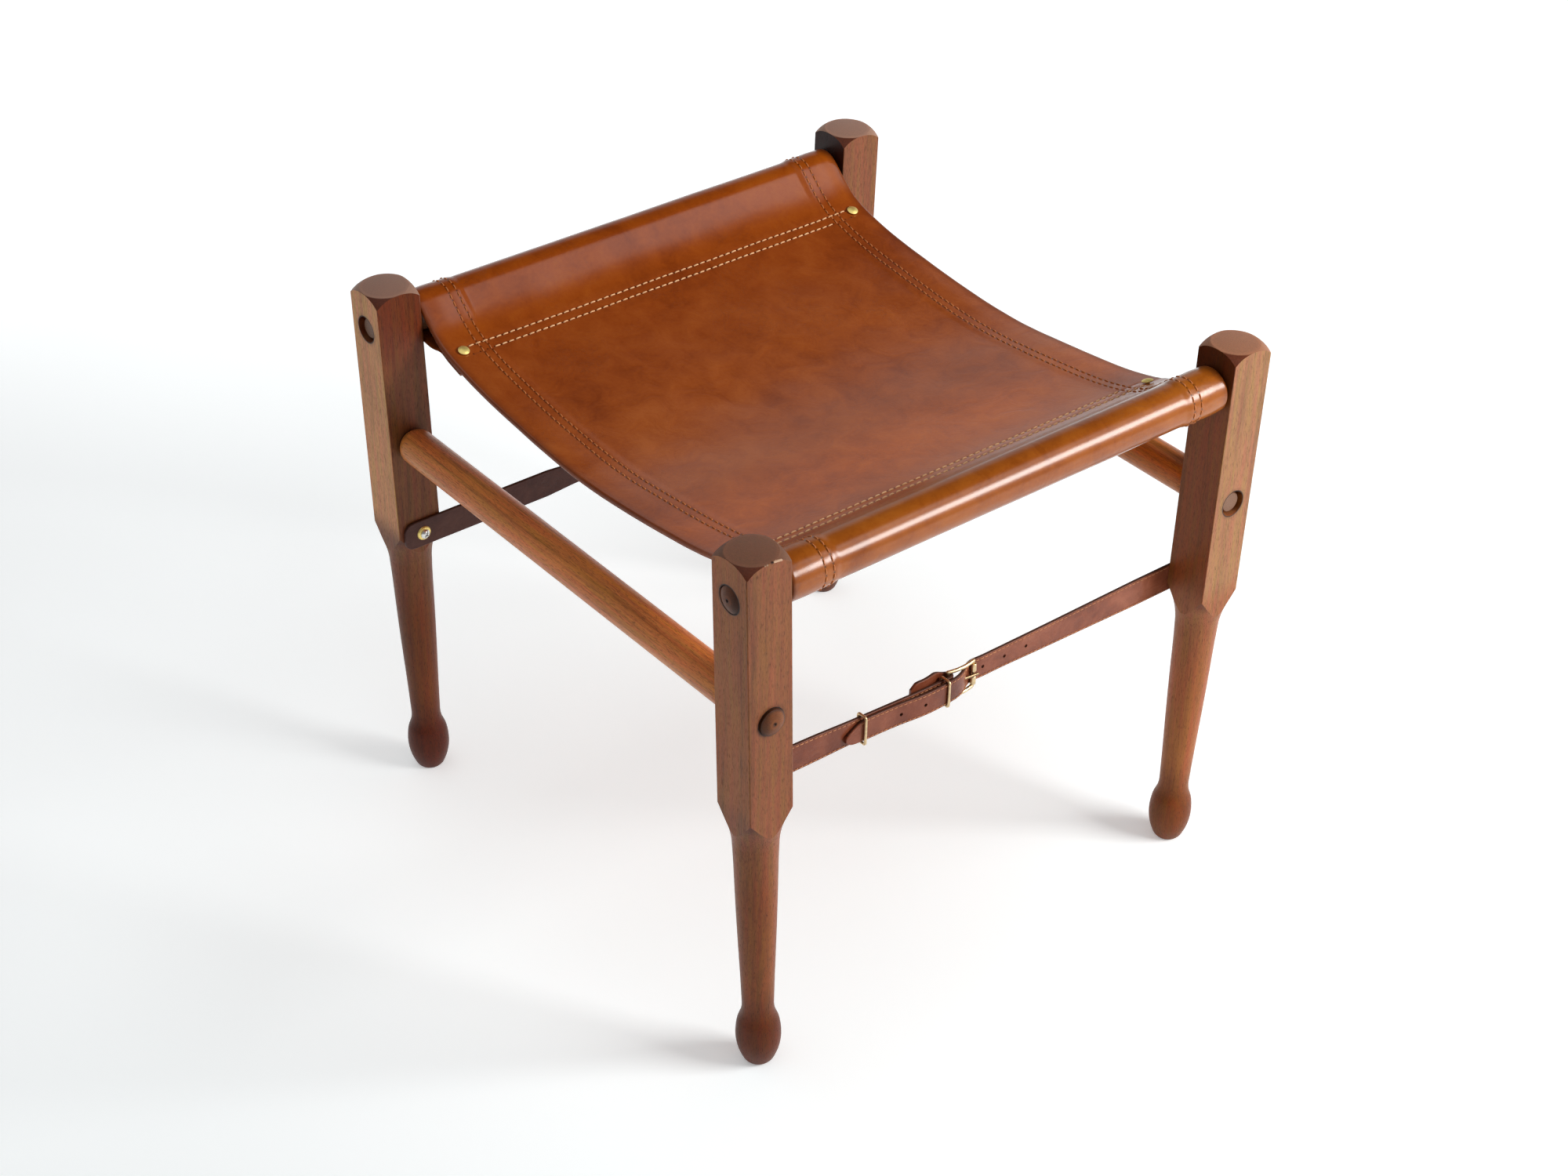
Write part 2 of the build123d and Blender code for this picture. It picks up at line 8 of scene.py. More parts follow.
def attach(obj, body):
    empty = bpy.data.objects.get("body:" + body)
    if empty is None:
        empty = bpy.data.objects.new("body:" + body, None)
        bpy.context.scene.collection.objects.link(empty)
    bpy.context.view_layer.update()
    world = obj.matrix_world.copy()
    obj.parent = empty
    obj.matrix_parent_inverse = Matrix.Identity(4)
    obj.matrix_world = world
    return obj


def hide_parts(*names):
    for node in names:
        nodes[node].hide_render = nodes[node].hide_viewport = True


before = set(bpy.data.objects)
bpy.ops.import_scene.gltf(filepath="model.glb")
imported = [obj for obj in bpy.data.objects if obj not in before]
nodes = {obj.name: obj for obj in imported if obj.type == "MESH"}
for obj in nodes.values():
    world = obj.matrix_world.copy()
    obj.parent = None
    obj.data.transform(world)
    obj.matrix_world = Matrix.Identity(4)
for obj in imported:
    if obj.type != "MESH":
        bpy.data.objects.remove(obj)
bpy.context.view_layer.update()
MM = 0.001
scene = bpy.context.scene


# ------------------------------------------------------------------ helpers
def rad(a):
    return math.radians(a)


def smooth01(t):
    t = np.clip(t, 0.0, 1.0)
    return t * t * (3 - 2 * t)


def new_obj(name, verts_mm, faces, smooth=True):
    me = bpy.data.meshes.new(name)
    me.from_pydata([(float(a) * MM, float(b) * MM, float(c) * MM) for a, b, c in verts_mm], [], [tuple(int(i) for i in f) for f in faces])
    me.update()
    if smooth:
        me.polygons.foreach_set("use_smooth", [True] * len(me.polygons))
    o = bpy.data.objects.new(name, me)
    scene.collection.objects.link(o)
    return o


def set_mats(o, *mats):
    o.data.materials.clear()
    for m in mats:
        o.data.materials.append(m)


def clamped_spline(pts, t0=None, t1=None, step=0.25):
    """cubic spline through 2-D points by chord length, with end directions; dense samples"""
    p = np.array(pts, float)
    u = np.concatenate([[0], np.cumsum(np.linalg.norm(np.diff(p, axis=0), axis=1))])
    n = len(p)
    h = np.diff(u)
    A = np.zeros((n, n))
    B = np.zeros((n, p.shape[1]))
    for i in range(1, n - 1):
        A[i, i - 1], A[i, i], A[i, i + 1] = h[i], 2 * (h[i - 1] + h[i]), h[i - 1]
        B[i] = 3 * (h[i] * (p[i] - p[i - 1]) / h[i - 1] + h[i - 1] * (p[i + 1] - p[i]) / h[i])
    if t0 is None:
        A[0, 0], A[0, 1] = 2, 1
        B[0] = 3 * (p[1] - p[0]) / h[0]
    else:
        A[0, 0] = 1
        B[0] = np.array(t0, float) / np.linalg.norm(t0)
    if t1 is None:
        A[-1, -1], A[-1, -2] = 2, 1
        B[-1] = 3 * (p[-1] - p[-2]) / h[-1]
    else:
        A[-1, -1] = 1
        B[-1] = np.array(t1, float) / np.linalg.norm(t1)
    m = np.linalg.solve(A, B)
    out = []
    for i in range(n - 1):
        k = max(2, int(math.ceil(h[i] / step)))
        for j in range(k):
            t = j / k
            h00, h10 = 2 * t ** 3 - 3 * t ** 2 + 1, t ** 3 - 2 * t ** 2 + t
            h01, h11 = -2 * t ** 3 + 3 * t ** 2, t ** 3 - t ** 2
            out.append(h00 * p[i] + h10 * h[i] * m[i] + h01 * p[i + 1] + h11 * h[i] * m[i + 1])
    out.append(p[-1])
    return np.array(out)


def arclen(p):
    return np.concatenate([[0], np.cumsum(np.linalg.norm(np.diff(p, axis=0), axis=1))])


# ------------------------------------------------------------------ camera
AZ, EL, ROLL = rad(-39.296), rad(34.725), rad(1.136)
back = Vector((math.sin(AZ) * math.cos(EL), -math.cos(AZ) * math.cos(EL), math.sin(EL)))
right0 = Vector((0, 0, 1)).cross(back).normalized()
up0 = back.cross(right0)
right = math.cos(ROLL) * right0 + math.sin(ROLL) * up0
up = -math.sin(ROLL) * right0 + math.cos(ROLL) * up0
cam_data = bpy.data.cameras.new("camera")
cam = bpy.data.objects.new("camera", cam_data)
scene.collection.objects.link(cam)
cam_data.sensor_fit = "HORIZONTAL"
cam_data.sensor_width = 36.0
cam_data.lens = 66.118
cam_data.clip_start, cam_data.clip_end = 0.05, 60.0
cam.matrix_world = Matrix(((right.x, up.x, back.x, -1.19625), (right.y, up.y, back.y, -1.44326), (right.z, up.z, back.z, 1.50995), (0, 0, 0, 1)))
scene.camera = cam


# ------------------------------------------------------------------ node helpers
class Net:
    """short names for building a node network"""

    def __init__(self, tree):
        self.t = tree

    def n(self, kind):
        return self.t.nodes.new(kind)

    def put(self, socket, v):
        if v is None:
            return
        if isinstance(v, bpy.types.NodeSocket):
            self.t.links.new(v, socket)
        elif socket.type == "RGBA" and len(v) == 3:
            socket.default_value = (*v, 1)
        else:
            socket.default_value = v

    def m(self, op, a, b=None, c=None, clamp=False):
        x = self.n("ShaderNodeMath")
        x.operation = op
        x.use_clamp = clamp
        for s, v in zip(x.inputs, (a, b, c)):
            self.put(s, v)
        return x.outputs[0]

    def v(self, op, a, b=None):
        x = self.n("ShaderNodeVectorMath")
        x.operation = op
        self.put(x.inputs[0], a)
        if op == "SCALE":
            self.put(x.inputs["Scale"], b)
        elif b is not None:
            self.put(x.inputs[1], b)
        return x.outputs["Value"] if op in ("LENGTH", "DOT_PRODUCT", "DISTANCE") else x.outputs["Vector"]

    def xyz(self, a, b, c):
        x = self.n("ShaderNodeCombineXYZ")
        for s, v in zip(x.inputs, (a, b, c)):
            self.put(s, v)
        return x.outputs[0]

    def split(self, a):
        x = self.n("ShaderNodeSeparateXYZ")
        self.put(x.inputs[0], a)
        return x.outputs[0], x.outputs[1], x.outputs[2]

    def noise(self, vec, scale=1.0, detail=3.0, rough=0.5, dist=0.0, out="Fac"):
        x = self.n("ShaderNodeTexNoise")
        self.put(x.inputs["Vector"], vec)
        x.inputs["Scale"].default_value = scale
        x.inputs["Detail"].default_value = detail
        x.inputs["Roughness"].default_value = rough
        x.inputs["Distortion"].default_value = dist
        return x.outputs[out]

    def voronoi(self, vec, scale=1.0, feature="F1", out="Distance"):
        x = self.n("ShaderNodeTexVoronoi")
        x.feature = feature
        self.put(x.inputs["Vector"], vec)
        x.inputs["Scale"].default_value = scale
        return x.outputs[out]

    def mix(self, fac, a, b, blend="MIX"):
        x = self.n("ShaderNodeMix")
        x.data_type = "RGBA"
        x.blend_type = blend
        x.clamp_factor = True
        self.put(x.inputs[0], fac)
        self.put(x.inputs[6], a)
        self.put(x.inputs[7], b)
        return x.outputs[2]

    def ramp(self, fac, stops, smooth=False):
        x = self.n("ShaderNodeValToRGB")
        x.color_ramp.interpolation = "EASE" if smooth else "LINEAR"
        el = x.color_ramp.elements
        while len(el) > 1:
            el.remove(el[-1])
        for i, (pos, col) in enumerate(stops):
            e = el[0] if i == 0 else el.new(pos)
            e.position = pos
            e.color = (*col, 1)
        self.put(x.inputs[0], fac)
        return x.outputs[0]

    def rng(self, v, a, b, c=0.0, d=1.0, smooth=False):
        x = self.n("ShaderNodeMapRange")
        x.interpolation_type = "SMOOTHSTEP" if smooth else "LINEAR"
        x.clamp = True
        self.put(x.inputs[0], v)
        for s, k in zip(list(x.inputs)[1:5], (a, b, c, d)):
            self.put(s, k)
        return x.outputs[0]

    def bump(self, height, dist, strength=1.0, normal=None):
        x = self.n("ShaderNodeBump")
        x.inputs["Strength"].default_value = strength
        x.inputs["Distance"].default_value = dist
        self.put(x.inputs["Height"], height)
        if normal is not None:
            self.put(x.inputs["Normal"], normal)
        return x.outputs[0]


def material(name):
    mt = bpy.data.materials.new(name)
    mt.use_nodes = True
    g = Net(mt.node_tree)
    b = mt.node_tree.nodes["Principled BSDF"]
    return mt, g, b


def p_mm(g):
    t = g.n("ShaderNodeTexCoord")
    return g.v("SCALE", t.outputs["Object"], 1000.0)


def uv_mm(g):
    t = g.n("ShaderNodeUVMap")
    t.uv_map = "lay"
    return g.v("SCALE", t.outputs["UV"], 1000.0)


# ------------------------------------------------------------------ light and floor
scene.view_settings.view_transform = "Standard"
scene.view_settings.look = "None"

world = bpy.data.worlds.new("studio")
scene.world = world
world.use_nodes = True
g = Net(world.node_tree)
bg = world.node_tree.nodes["Background"]
d = g.n("ShaderNodeTexCoord").outputs["Generated"]
dx, dy, dz = g.split(d)
WALL, GAP, TOP, PATCH = 0.56, 0.02, 0.95, 4.6
low_mask = g.rng(dz, 0.46, 0.60, 1.0, 0.0, True)
top_mask = g.m("MULTIPLY", g.rng(dz, 0.74, 0.86, 0.0, 1.0, True), g.rng(dx, 0.12, 0.38, 1.0, 0.0, True))
toward_cam = g.m("ADD", g.m("MULTIPLY", dx, -0.633), g.m("MULTIPLY", dy, -0.774))
cam_dark = g.rng(toward_cam, 0.15, 0.75, 1.0, 0.45, True)
level = g.m("MULTIPLY", low_mask, g.m("MULTIPLY", cam_dark, WALL))
level = g.m("MAXIMUM", level, g.m("MULTIPLY", top_mask, TOP))
level = g.m("MAXIMUM", level, g.m("MULTIPLY", g.rng(toward_cam, 0.15, 0.5, 0.0, 1.0, True), 0.20))
soft_box = g.rng(g.v("DOT_PRODUCT", d, (0.516, -0.42, 0.745)), 0.981, 0.996, 0.0, PATCH, True)
soft_box = g.m("MULTIPLY", soft_box, g.rng(dx, 0.47, 0.56, 0.40, 1.0, True))
level = g.m("MAXIMUM", g.m("MAXIMUM", level, soft_box), GAP)
g.put(bg.inputs["Strength"], level)
g.put(bg.inputs["Color"], (1.0, 1.0, 1.0))


def area_light(name, loc, target, size, power, color=(1, 1, 1), size_y=None):
    dt = bpy.data.lights.new(name, "AREA")
    dt.energy = power
    dt.color = color
    dt.size = size
    if size_y:
        dt.shape = "RECTANGLE"
        dt.size_y = size_y
    o = bpy.data.objects.new(name, dt)
    scene.collection.objects.link(o)
    o.location = loc
    o.rotation_mode = "QUATERNION"
    o.rotation_quaternion = (Vector(target) - Vector(loc)).to_track_quat("-Z", "Y")
    return o


area_light("window", (1.20, -1.65, 1.26), (0, 0, 0.3), 1.0, 46, (1.0, 0.99, 0.97), 0.56)
halo = area_light("window_halo", (1.21, -1.66, 1.27), (0, 0, 0.3), 1.2, 15, (1.0, 0.99, 0.97), 0.78)
halo.visible_diffuse = False

# the sweep: a floor that runs up into a backdrop behind the stool
sweep_v, sweep_f = [], []
prof = [(-6000.0, 0.0), (3500.0, 0.0)] + [(3500.0 + 2000.0 * math.sin(a), 2000.0 - 2000.0 * math.cos(a)) for a in np.linspace(0.1, 0.75, 8)]
for w in (-9000.0, 9000.0):
    for a, h in prof:
        sweep_v.append((-math.sin(AZ) * a + math.cos(AZ) * w, math.cos(AZ) * a + math.sin(AZ) * w, h - 0.2))
n = len(prof)
for i in range(n - 1):
    sweep_f.append((i, n + i, n + i + 1, i + 1))
floor = new_obj("sweep", sweep_v, sweep_f)
mt, g, b = material("paper")
px, py, pz = g.split(p_mm(g))
b.inputs["Base Color"].default_value = (0.835, 0.88, 0.895, 1)
side = g.m("SUBTRACT", g.m("MULTIPLY", py, 0.62), g.m("MULTIPLY", px, 0.78))
# the paper glows: painted light, stronger toward the left and the far back, weaker at the near left, with a little
# extra from the front legs back, mostly on the right, over the stool's shadows
b.inputs["Emission Color"].default_value = (1, 1, 1, 1)
away = g.m("ADD", g.m("MULTIPLY", px, 0.633), g.m("MULTIPLY", py, 0.774))
glow = g.m("ADD", g.rng(side, -150.0, 700.0, 0.26, 0.44, True), g.rng(away, 450.0, 1500.0, 0.0, 0.30, True))
near_left = g.m("MULTIPLY", g.rng(away, -700.0, 200.0, 1.0, 0.0, True), g.rng(side, -100.0, 500.0, 0.0, 1.0, True))
shadow_fill_glow = g.m("MULTIPLY", g.rng(away, -230.0, 40.0, 0.0, 0.055, True), g.rng(side, 500.0, 150.0, 0.3, 1.0, True))
g.put(b.inputs["Emission Strength"], g.m("ADD", shadow_fill_glow, g.m("MULTIPLY", glow, g.m("MULTIPLY_ADD", near_left, -0.40, 1.0))))
b.inputs["Roughness"].default_value = 0.85
b.inputs["Specular IOR Level"].default_value = 0.2
set_mats(floor, mt)


# ------------------------------------------------------------------ wood
def wood(name, axis, pith, light, mid, dark, seed, rough=0.42, ring=5.0, top_z=None, streak_mix=0.5, coat=0.06, pore_dark=0.45,
         spots=(), faces=(), leg_xy=None, ends=None, top_finish_and_light_gain=1.0, top_grey_finish_and_sheen=0.42, shank_shading_mul=(1, 1, 1), foot_mul=(0.6, 0.4, 0.3)):
    mt, g, b = material(name)
    p = p_mm(g)
    x, y, z = g.split(p)
    if axis == "Z":
        u, c1, c2 = z, x, y
    elif axis == "X":
        u, c1, c2 = x, y, z
    else:
        u, c1, c2 = y, x, z
    c1 = g.m("SUBTRACT", c1, pith[0])
    c2 = g.m("SUBTRACT", c2, pith[1])
    # slow wander of the grain along the piece
    w1 = g.noise(g.xyz(g.m("MULTIPLY", c1, 1 / 45), g.m("MULTIPLY", c2, 1 / 45), g.m("MULTIPLY_ADD", u, 1 / 190, seed)), 1.0, 2.0, 0.5)
    w2 = g.noise(g.xyz(g.m("MULTIPLY_ADD", c1, 1 / 12, seed * 3.1), g.m("MULTIPLY", c2, 1 / 12), g.m("MULTIPLY", u, 1 / 75)), 1.0, 3.0, 0.55)
    r = g.m("SQRT", g.m("ADD", g.m("MULTIPLY", c1, c1), g.m("MULTIPLY", c2, c2)))
    rr = g.m("ADD", g.m("ADD", r, g.m("MULTIPLY", w1, 16.0)), g.m("MULTIPLY", w2, 4.0))
    rings = g.noise(g.xyz(g.m("MULTIPLY", rr, 1 / ring), seed * 1.7, g.m("MULTIPLY", u, 1 / 900)), 1.0, 2.5, 0.6)
    # streaks that follow the grain
    su = g.m("MULTIPLY", u, 1 / 85)
    streak = g.noise(g.xyz(g.m("MULTIPLY_ADD", c1, 1 / 2.0, seed), g.m("MULTIPLY", c2, 1 / 2.0), su), 1.0, 4.0, 0.65)
    fine = g.noise(g.xyz(g.m("MULTIPLY", c1, 1 / 0.55), g.m("MULTIPLY_ADD", c2, 1 / 0.55, seed * 5.3), g.m("MULTIPLY", u, 1 / 22)), 1.0, 2.0, 0.6)
    pore = g.noise(g.xyz(g.m("MULTIPLY", c1, 1 / 0.42), g.m("MULTIPLY_ADD", c2, 1 / 0.42, seed * 2.3), g.m("MULTIPLY", u, 1 / 5.0)), 1.0, 1.5, 0.5)
    pores = g.rng(pore, 0.555, 0.68, 0.0, 1.0, True)
    fleck = g.noise(g.xyz(g.m("MULTIPLY", c1, 1 / 0.9), g.m("MULTIPLY_ADD", c2, 1 / 0.9, seed * 4.7), g.m("MULTIPLY", u, 1 / 3.6)), 1.0, 2.0, 0.6)
    flecks = g.rng(fleck, 0.53, 0.70, 0.0, 1.0, True)
    hue = g.noise(g.xyz(g.m("MULTIPLY_ADD", c1, 1 / 4.2, seed * 2.9), g.m("MULTIPLY", c2, 1 / 4.2), g.m("MULTIPLY", u, 1 / 70)), 1.0, 2.0, 0.55)
    blotch = g.noise(g.xyz(g.m("MULTIPLY_ADD", c1, 1 / 30, seed), g.m("MULTIPLY", c2, 1 / 30), g.m("MULTIPLY", u, 1 / 60)), 1.0, 2.0, 0.5)
    k = g.m("ADD", g.m("MULTIPLY", rings, 1.15 - streak_mix), g.m("MULTIPLY", streak, streak_mix))
    k = g.m("ADD", k, g.m("MULTIPLY", g.m("SUBTRACT", fine, 0.5), 0.35))
    k = g.m("ADD", k, g.m("MULTIPLY", g.m("SUBTRACT", blotch, 0.5), 0.25))
    col = g.ramp(k, [(0.36, dark), (0.56, mid), (0.78, light)])
    pd = tuple(v * pore_dark for v in dark)
    col = g.mix(1.0, col, g.ramp(hue, [(0.36, (1.06, 0.90, 1.00)), (0.5, (1.0, 1.0, 1.0)), (0.64, (0.97, 1.10, 0.88))]), "MULTIPLY")
    col = g.mix(g.m("MULTIPLY", flecks, 0.34), col, tuple(v * 0.72 for v in dark))
    col = g.mix(g.m("MULTIPLY", pores, 0.62), col, pd)
    rgh = g.m("MULTIPLY_ADD", g.m("SUBTRACT", streak, 0.5), 0.18, rough)
    nrm = g.n("ShaderNodeTexCoord").outputs["Normal"]
    sq = g.rng(z, 236.0, 262.0, 0.0, 1.0, True)
    # per-face tints on the square part of the leg, painted light and shade: each face made lighter or darker by which
    # way it faces, some only near the top
    for fc in faces:
        fx, fy, mul = fc[:3]
        k_ = g.m("MULTIPLY", g.rng(g.v("DOT_PRODUCT", nrm, (fx, fy, 0.0)), 0.35, 0.9, 0.0, 1.0, True), sq)
        if len(fc) > 3:
            k_ = g.m("MULTIPLY", k_, g.rng(z, fc[3], fc[4], 0.0, 1.0, True))
        col = g.mix(k_, col, g.mix(1.0, col, mul, "MULTIPLY"))
    if leg_xy is not None:
        # the feet are darker towards the bottom
        foot = g.rng(g.m("MULTIPLY_ADD", g.m("SUBTRACT", w2, 0.5), 18.0, z), 34.0, 88.0, 1.0, 0.0, True)
        col = g.mix(foot, col, g.mix(1.0, col, foot_mul, "MULTIPLY"))
        # the turned shank takes a per-leg tint, painted light and shade for how much light each leg gets
        neck = g.rng(z, 150.0, 232.0, 1.0, 0.0, True)
        col = g.mix(neck, col, g.mix(1.0, col, shank_shading_mul, "MULTIPLY"))
        # painted shade on the concave shoulder under the square, where it faces down
        arch_shade = g.m("MULTIPLY", g.rng(z, 228.0, 240.0, 0.0, 1.0, True), g.rng(g.v("DOT_PRODUCT", nrm, (0.0, 0.0, -1.0)), 0.15, 0.5, 0.0, 1.0, True))
        col = g.mix(arch_shade, col, g.mix(1.0, col, (0.50, 0.36, 0.28), "MULTIPLY"))
        # dark lines round the through holes at the joint gap, with a soft painted shade spreading a few millimetres
        # round them
        lx, ly = leg_xy
        ang = math.atan2(ly, lx)
        dr = g.m("SQRT", g.m("ADD", g.m("POWER", g.m("SUBTRACT", y, ly), 2.0), g.m("POWER", g.m("SUBTRACT", z, 427.5), 2.0)))
        ds = g.m("SQRT", g.m("ADD", g.m("POWER", g.m("SUBTRACT", x, math.copysign(222.57, lx)), 2.0), g.m("POWER", g.m("SUBTRACT", z, 328.8), 2.0)))
        on_x = g.rng(g.m("ABSOLUTE", g.v("DOT_PRODUCT", nrm, (1.0, 0.0, 0.0))), 0.7, 0.9, 0.0, 1.0)
        on_y = g.rng(g.m("ABSOLUTE", g.v("DOT_PRODUCT", nrm, (0.0, 1.0, 0.0))), 0.7, 0.9, 0.0, 1.0)
        line_x = g.m("MULTIPLY", on_x, g.rng(dr, 10.9, 11.9, 1.0, 0.0, True))
        line_y = g.m("MULTIPLY", on_y, g.rng(ds, 10.9, 11.9, 1.0, 0.0, True))
        halo = g.m("MAXIMUM", g.m("MULTIPLY", on_x, g.rng(dr, 11.0, 15.0, 0.25, 0.0, True)), g.m("MULTIPLY", on_y, g.rng(ds, 11.0, 15.0, 0.25, 0.0, True)))
        col = g.mix(g.m("MAXIMUM", g.m("MAXIMUM", line_x, line_y), halo), col, (0.022, 0.011, 0.008))
        # the rounded arrises are darker
        nx_, ny2, nz2 = g.split(nrm)
        arr = g.rng(g.m("MINIMUM", g.m("ABSOLUTE", nx_), g.m("ABSOLUTE", ny2)), 0.25, 0.6, 0.0, 0.45, True)
        col = g.mix(g.m("MULTIPLY", arr, sq), col, g.mix(1.0, col, (0.62, 0.52, 0.46), "MULTIPLY"))
    if ends is not None:
        # end grain: darker, with faint rays, and a dark ring at the rim
        axis_c, u_neg, u_pos, neg_style, pos_style = ends
        q1, q2 = (y, z) if axis == "X" else (x, z)
        re_ = g.m("SQRT", g.m("ADD", g.m("POWER", g.m("SUBTRACT", q1, axis_c[0]), 2.0), g.m("POWER", g.m("SUBTRACT", q2, axis_c[1]), 2.0)))
        speck = g.noise(g.v("ADD", p, (seed, 0, seed)), 1.4, 3.0, 0.7)
        shade_side_n = g.v("DOT_PRODUCT", nrm, (0.0, -1.0, 0.0) if axis == "X" else (-1.0, 0.0, 0.0))
        for style, mask in ((neg_style, g.rng(u, u_neg + 1.0, u_neg, 0.0, 1.0)), (pos_style, g.rng(u, u_pos - 1.0, u_pos, 0.0, 1.0))):
            rim_r0, rim_r1, core, rim, amt = style
            c_ = g.mix(g.rng(speck, 0.35, 0.7), tuple(v * 0.72 for v in core), tuple(v * 1.15 for v in core))
            c_ = g.mix(g.rng(re_, rim_r0, rim_r1, 0.0, 1.0, True), c_, rim)
            if style[0] > 8.0:
                # on the domed ends: painted shade on the side facing -y (pieces along x) or -x (pieces along y), a
                # painted highlight on the opposite side and in a ring round the centre, and painted shade in the
                # centre dimple
                c_ = g.mix(g.rng(shade_side_n, 0.04, 0.34, 0.0, 0.8, True), c_, g.mix(1.0, c_, (0.25, 0.20, 0.18), "MULTIPLY"))
                c_ = g.mix(g.rng(shade_side_n, -0.04, -0.34, 0.0, 1.0, True), c_, g.mix(1.0, c_, (1.55, 1.65, 1.75), "MULTIPLY"))
                c_ = g.mix(g.m("MULTIPLY", g.rng(re_, 2.0, 2.8, 0.0, 1.0, True), g.rng(re_, 3.2, 4.6, 0.45, 0.0, True)), c_, tuple(v * 1.7 for v in core))
                c_ = g.mix(g.rng(re_, 1.1, 1.9, 0.95, 0.0, True), c_, (0.012, 0.006, 0.004))
            col = g.mix(g.m("MULTIPLY", mask, amt), col, c_)
    if top_z is not None:
        # the top: a flecked tone scaled by a per-leg gain and mixed with grey, the gain part finish and part painted
        # light from above, the grey part finish and part painted sheen; a lighter ring just inside the disc's edge
        tz = g.m("MULTIPLY", g.rng(z, top_z - 1.2, top_z + 1.5, 0.0, 1.0, True), g.rng(g.v("DOT_PRODUCT", nrm, (0.0, 0.0, 1.0)), 0.45, 0.62, 0.0, 1.0, True))
        fleck = g.noise(g.v("SCALE", p, 1.0), 0.9, 4.0, 0.7)
        tint = g.ramp(fleck, [(0.3, tuple(v * 0.60 * top_finish_and_light_gain for v in mid)), (0.7, tuple(v * 1.05 * top_finish_and_light_gain for v in mid))])
        grey = g.mix(top_grey_finish_and_sheen, tint, tuple(v * top_finish_and_light_gain for v in (0.100, 0.082, 0.074)))
        rd_ = g.m("SQRT", g.m("ADD", g.m("POWER", g.m("SUBTRACT", x, leg_xy[0]), 2.0), g.m("POWER", g.m("SUBTRACT", y, leg_xy[1]), 2.0)))
        lip = g.m("MULTIPLY", g.rng(rd_, 15.5, 17.6, 0.0, 1.0, True), g.rng(rd_, 18.4, 19.4, 1.0, 0.0, True))
        grey = g.mix(g.m("MULTIPLY", lip, 0.35), grey, g.mix(1.0, grey, (1.45, 1.35, 1.25), "MULTIPLY"))
        col = g.mix(g.m("MULTIPLY", tz, 0.8), col, grey)
        # the shoulder that falls from the disc to the four corners: painted shade, dark red brown where it faces
        # forward and left, lighter and greyer elsewhere
        flat_ = g.m("MAXIMUM", g.m("ABSOLUTE", g.v("DOT_PRODUCT", nrm, (1.0, 0.0, 0.0))), g.m("ABSOLUTE", g.v("DOT_PRODUCT", nrm, (0.0, 1.0, 0.0))))
        sh_ = g.m("MULTIPLY", g.rng(rd_, 18.4, 19.6, 0.0, 1.0, True), g.m("MULTIPLY", g.rng(flat_, 0.86, 0.96, 1.0, 0.0, True), g.rng(z, 444.0, 449.0, 0.0, 1.0, True)))
        fc_ = g.rng(g.v("DOT_PRODUCT", nrm, (-0.60, -0.60, 0.53)), 0.62, 0.86, 0.0, 1.0, True)
        dk_ = g.mix(1.0, tint, (0.50 / top_finish_and_light_gain, 0.30 / top_finish_and_light_gain, 0.22 / top_finish_and_light_gain), "MULTIPLY")
        lt_ = g.mix(1.0, grey, (0.96, 0.92, 0.84), "MULTIPLY")
        col = g.mix(sh_, col, g.mix(fc_, lt_, dk_))
    for (nx, ny, nz, nr, ncol) in spots:
        dd = g.v("DISTANCE", p, (nx, ny, nz))
        wob = g.noise(g.v("SCALE", p, 0.9), 1.0, 2.0, 0.6)
        dd = g.m("ADD", dd, g.m("MULTIPLY", g.m("SUBTRACT", wob, 0.5), nr * 1.2))
        col = g.mix(g.rng(dd, nr * 0.6, nr, 0.9, 0.0, True), col, ncol)
    g.put(b.inputs["Base Color"], col)
    g.put(b.inputs["Roughness"], g.m("ADD", rgh, g.m("MULTIPLY", pores, 0.2)))
    b.inputs["Specular IOR Level"].default_value = 0.17
    if ends is None:
        b.inputs["Coat Weight"].default_value = coat
    else:
        g.put(b.inputs["Coat Weight"], g.m("MULTIPLY", g.m("MULTIPLY", g.rng(u, u_neg + 1.0, u_neg, 1.0, 0.0), g.rng(u, u_pos - 1.0, u_pos, 1.0, 0.0)), coat))
    b.inputs["Coat Roughness"].default_value = 0.30
    h = g.m("SUBTRACT", g.m("MULTIPLY", fine, 0.35), g.m("MULTIPLY", pores, 0.65))
    g.put(b.inputs["Normal"], g.bump(h, 0.00012, 0.8))
    return mt


def srgb(r_, g_, b_):
    return tuple(((v / 255) / 12.92 if v / 255 <= 0.04045 else ((v / 255 + 0.055) / 1.055) ** 2.4) for v in (r_, g_, b_))


def tones(base, up_=1.22, down=0.62):
    return tuple(min(1.0, v * up_) for v in base), base, tuple(v * down for v in base)


leg_base = {
    "leg_front_left": (0.222, 0.072, 0.026),
    "leg_front_right": (0.290, 0.098, 0.034),
    "leg_rear_left": (0.200, 0.066, 0.025),
    "leg_rear_right": (0.222, 0.075, 0.028),
}
leg_pith = {"leg_front_left": (-290, -180), "leg_front_right": (150, -300), "leg_rear_left": (-330, 260), "leg_rear_right": (290, 330)}
leg_xy = {"leg_front_left": (-225.9, -223.6), "leg_front_right": (225.9, -223.6), "leg_rear_left": (-225.9, 223.6), "leg_rear_right": (225.9, 223.6)}
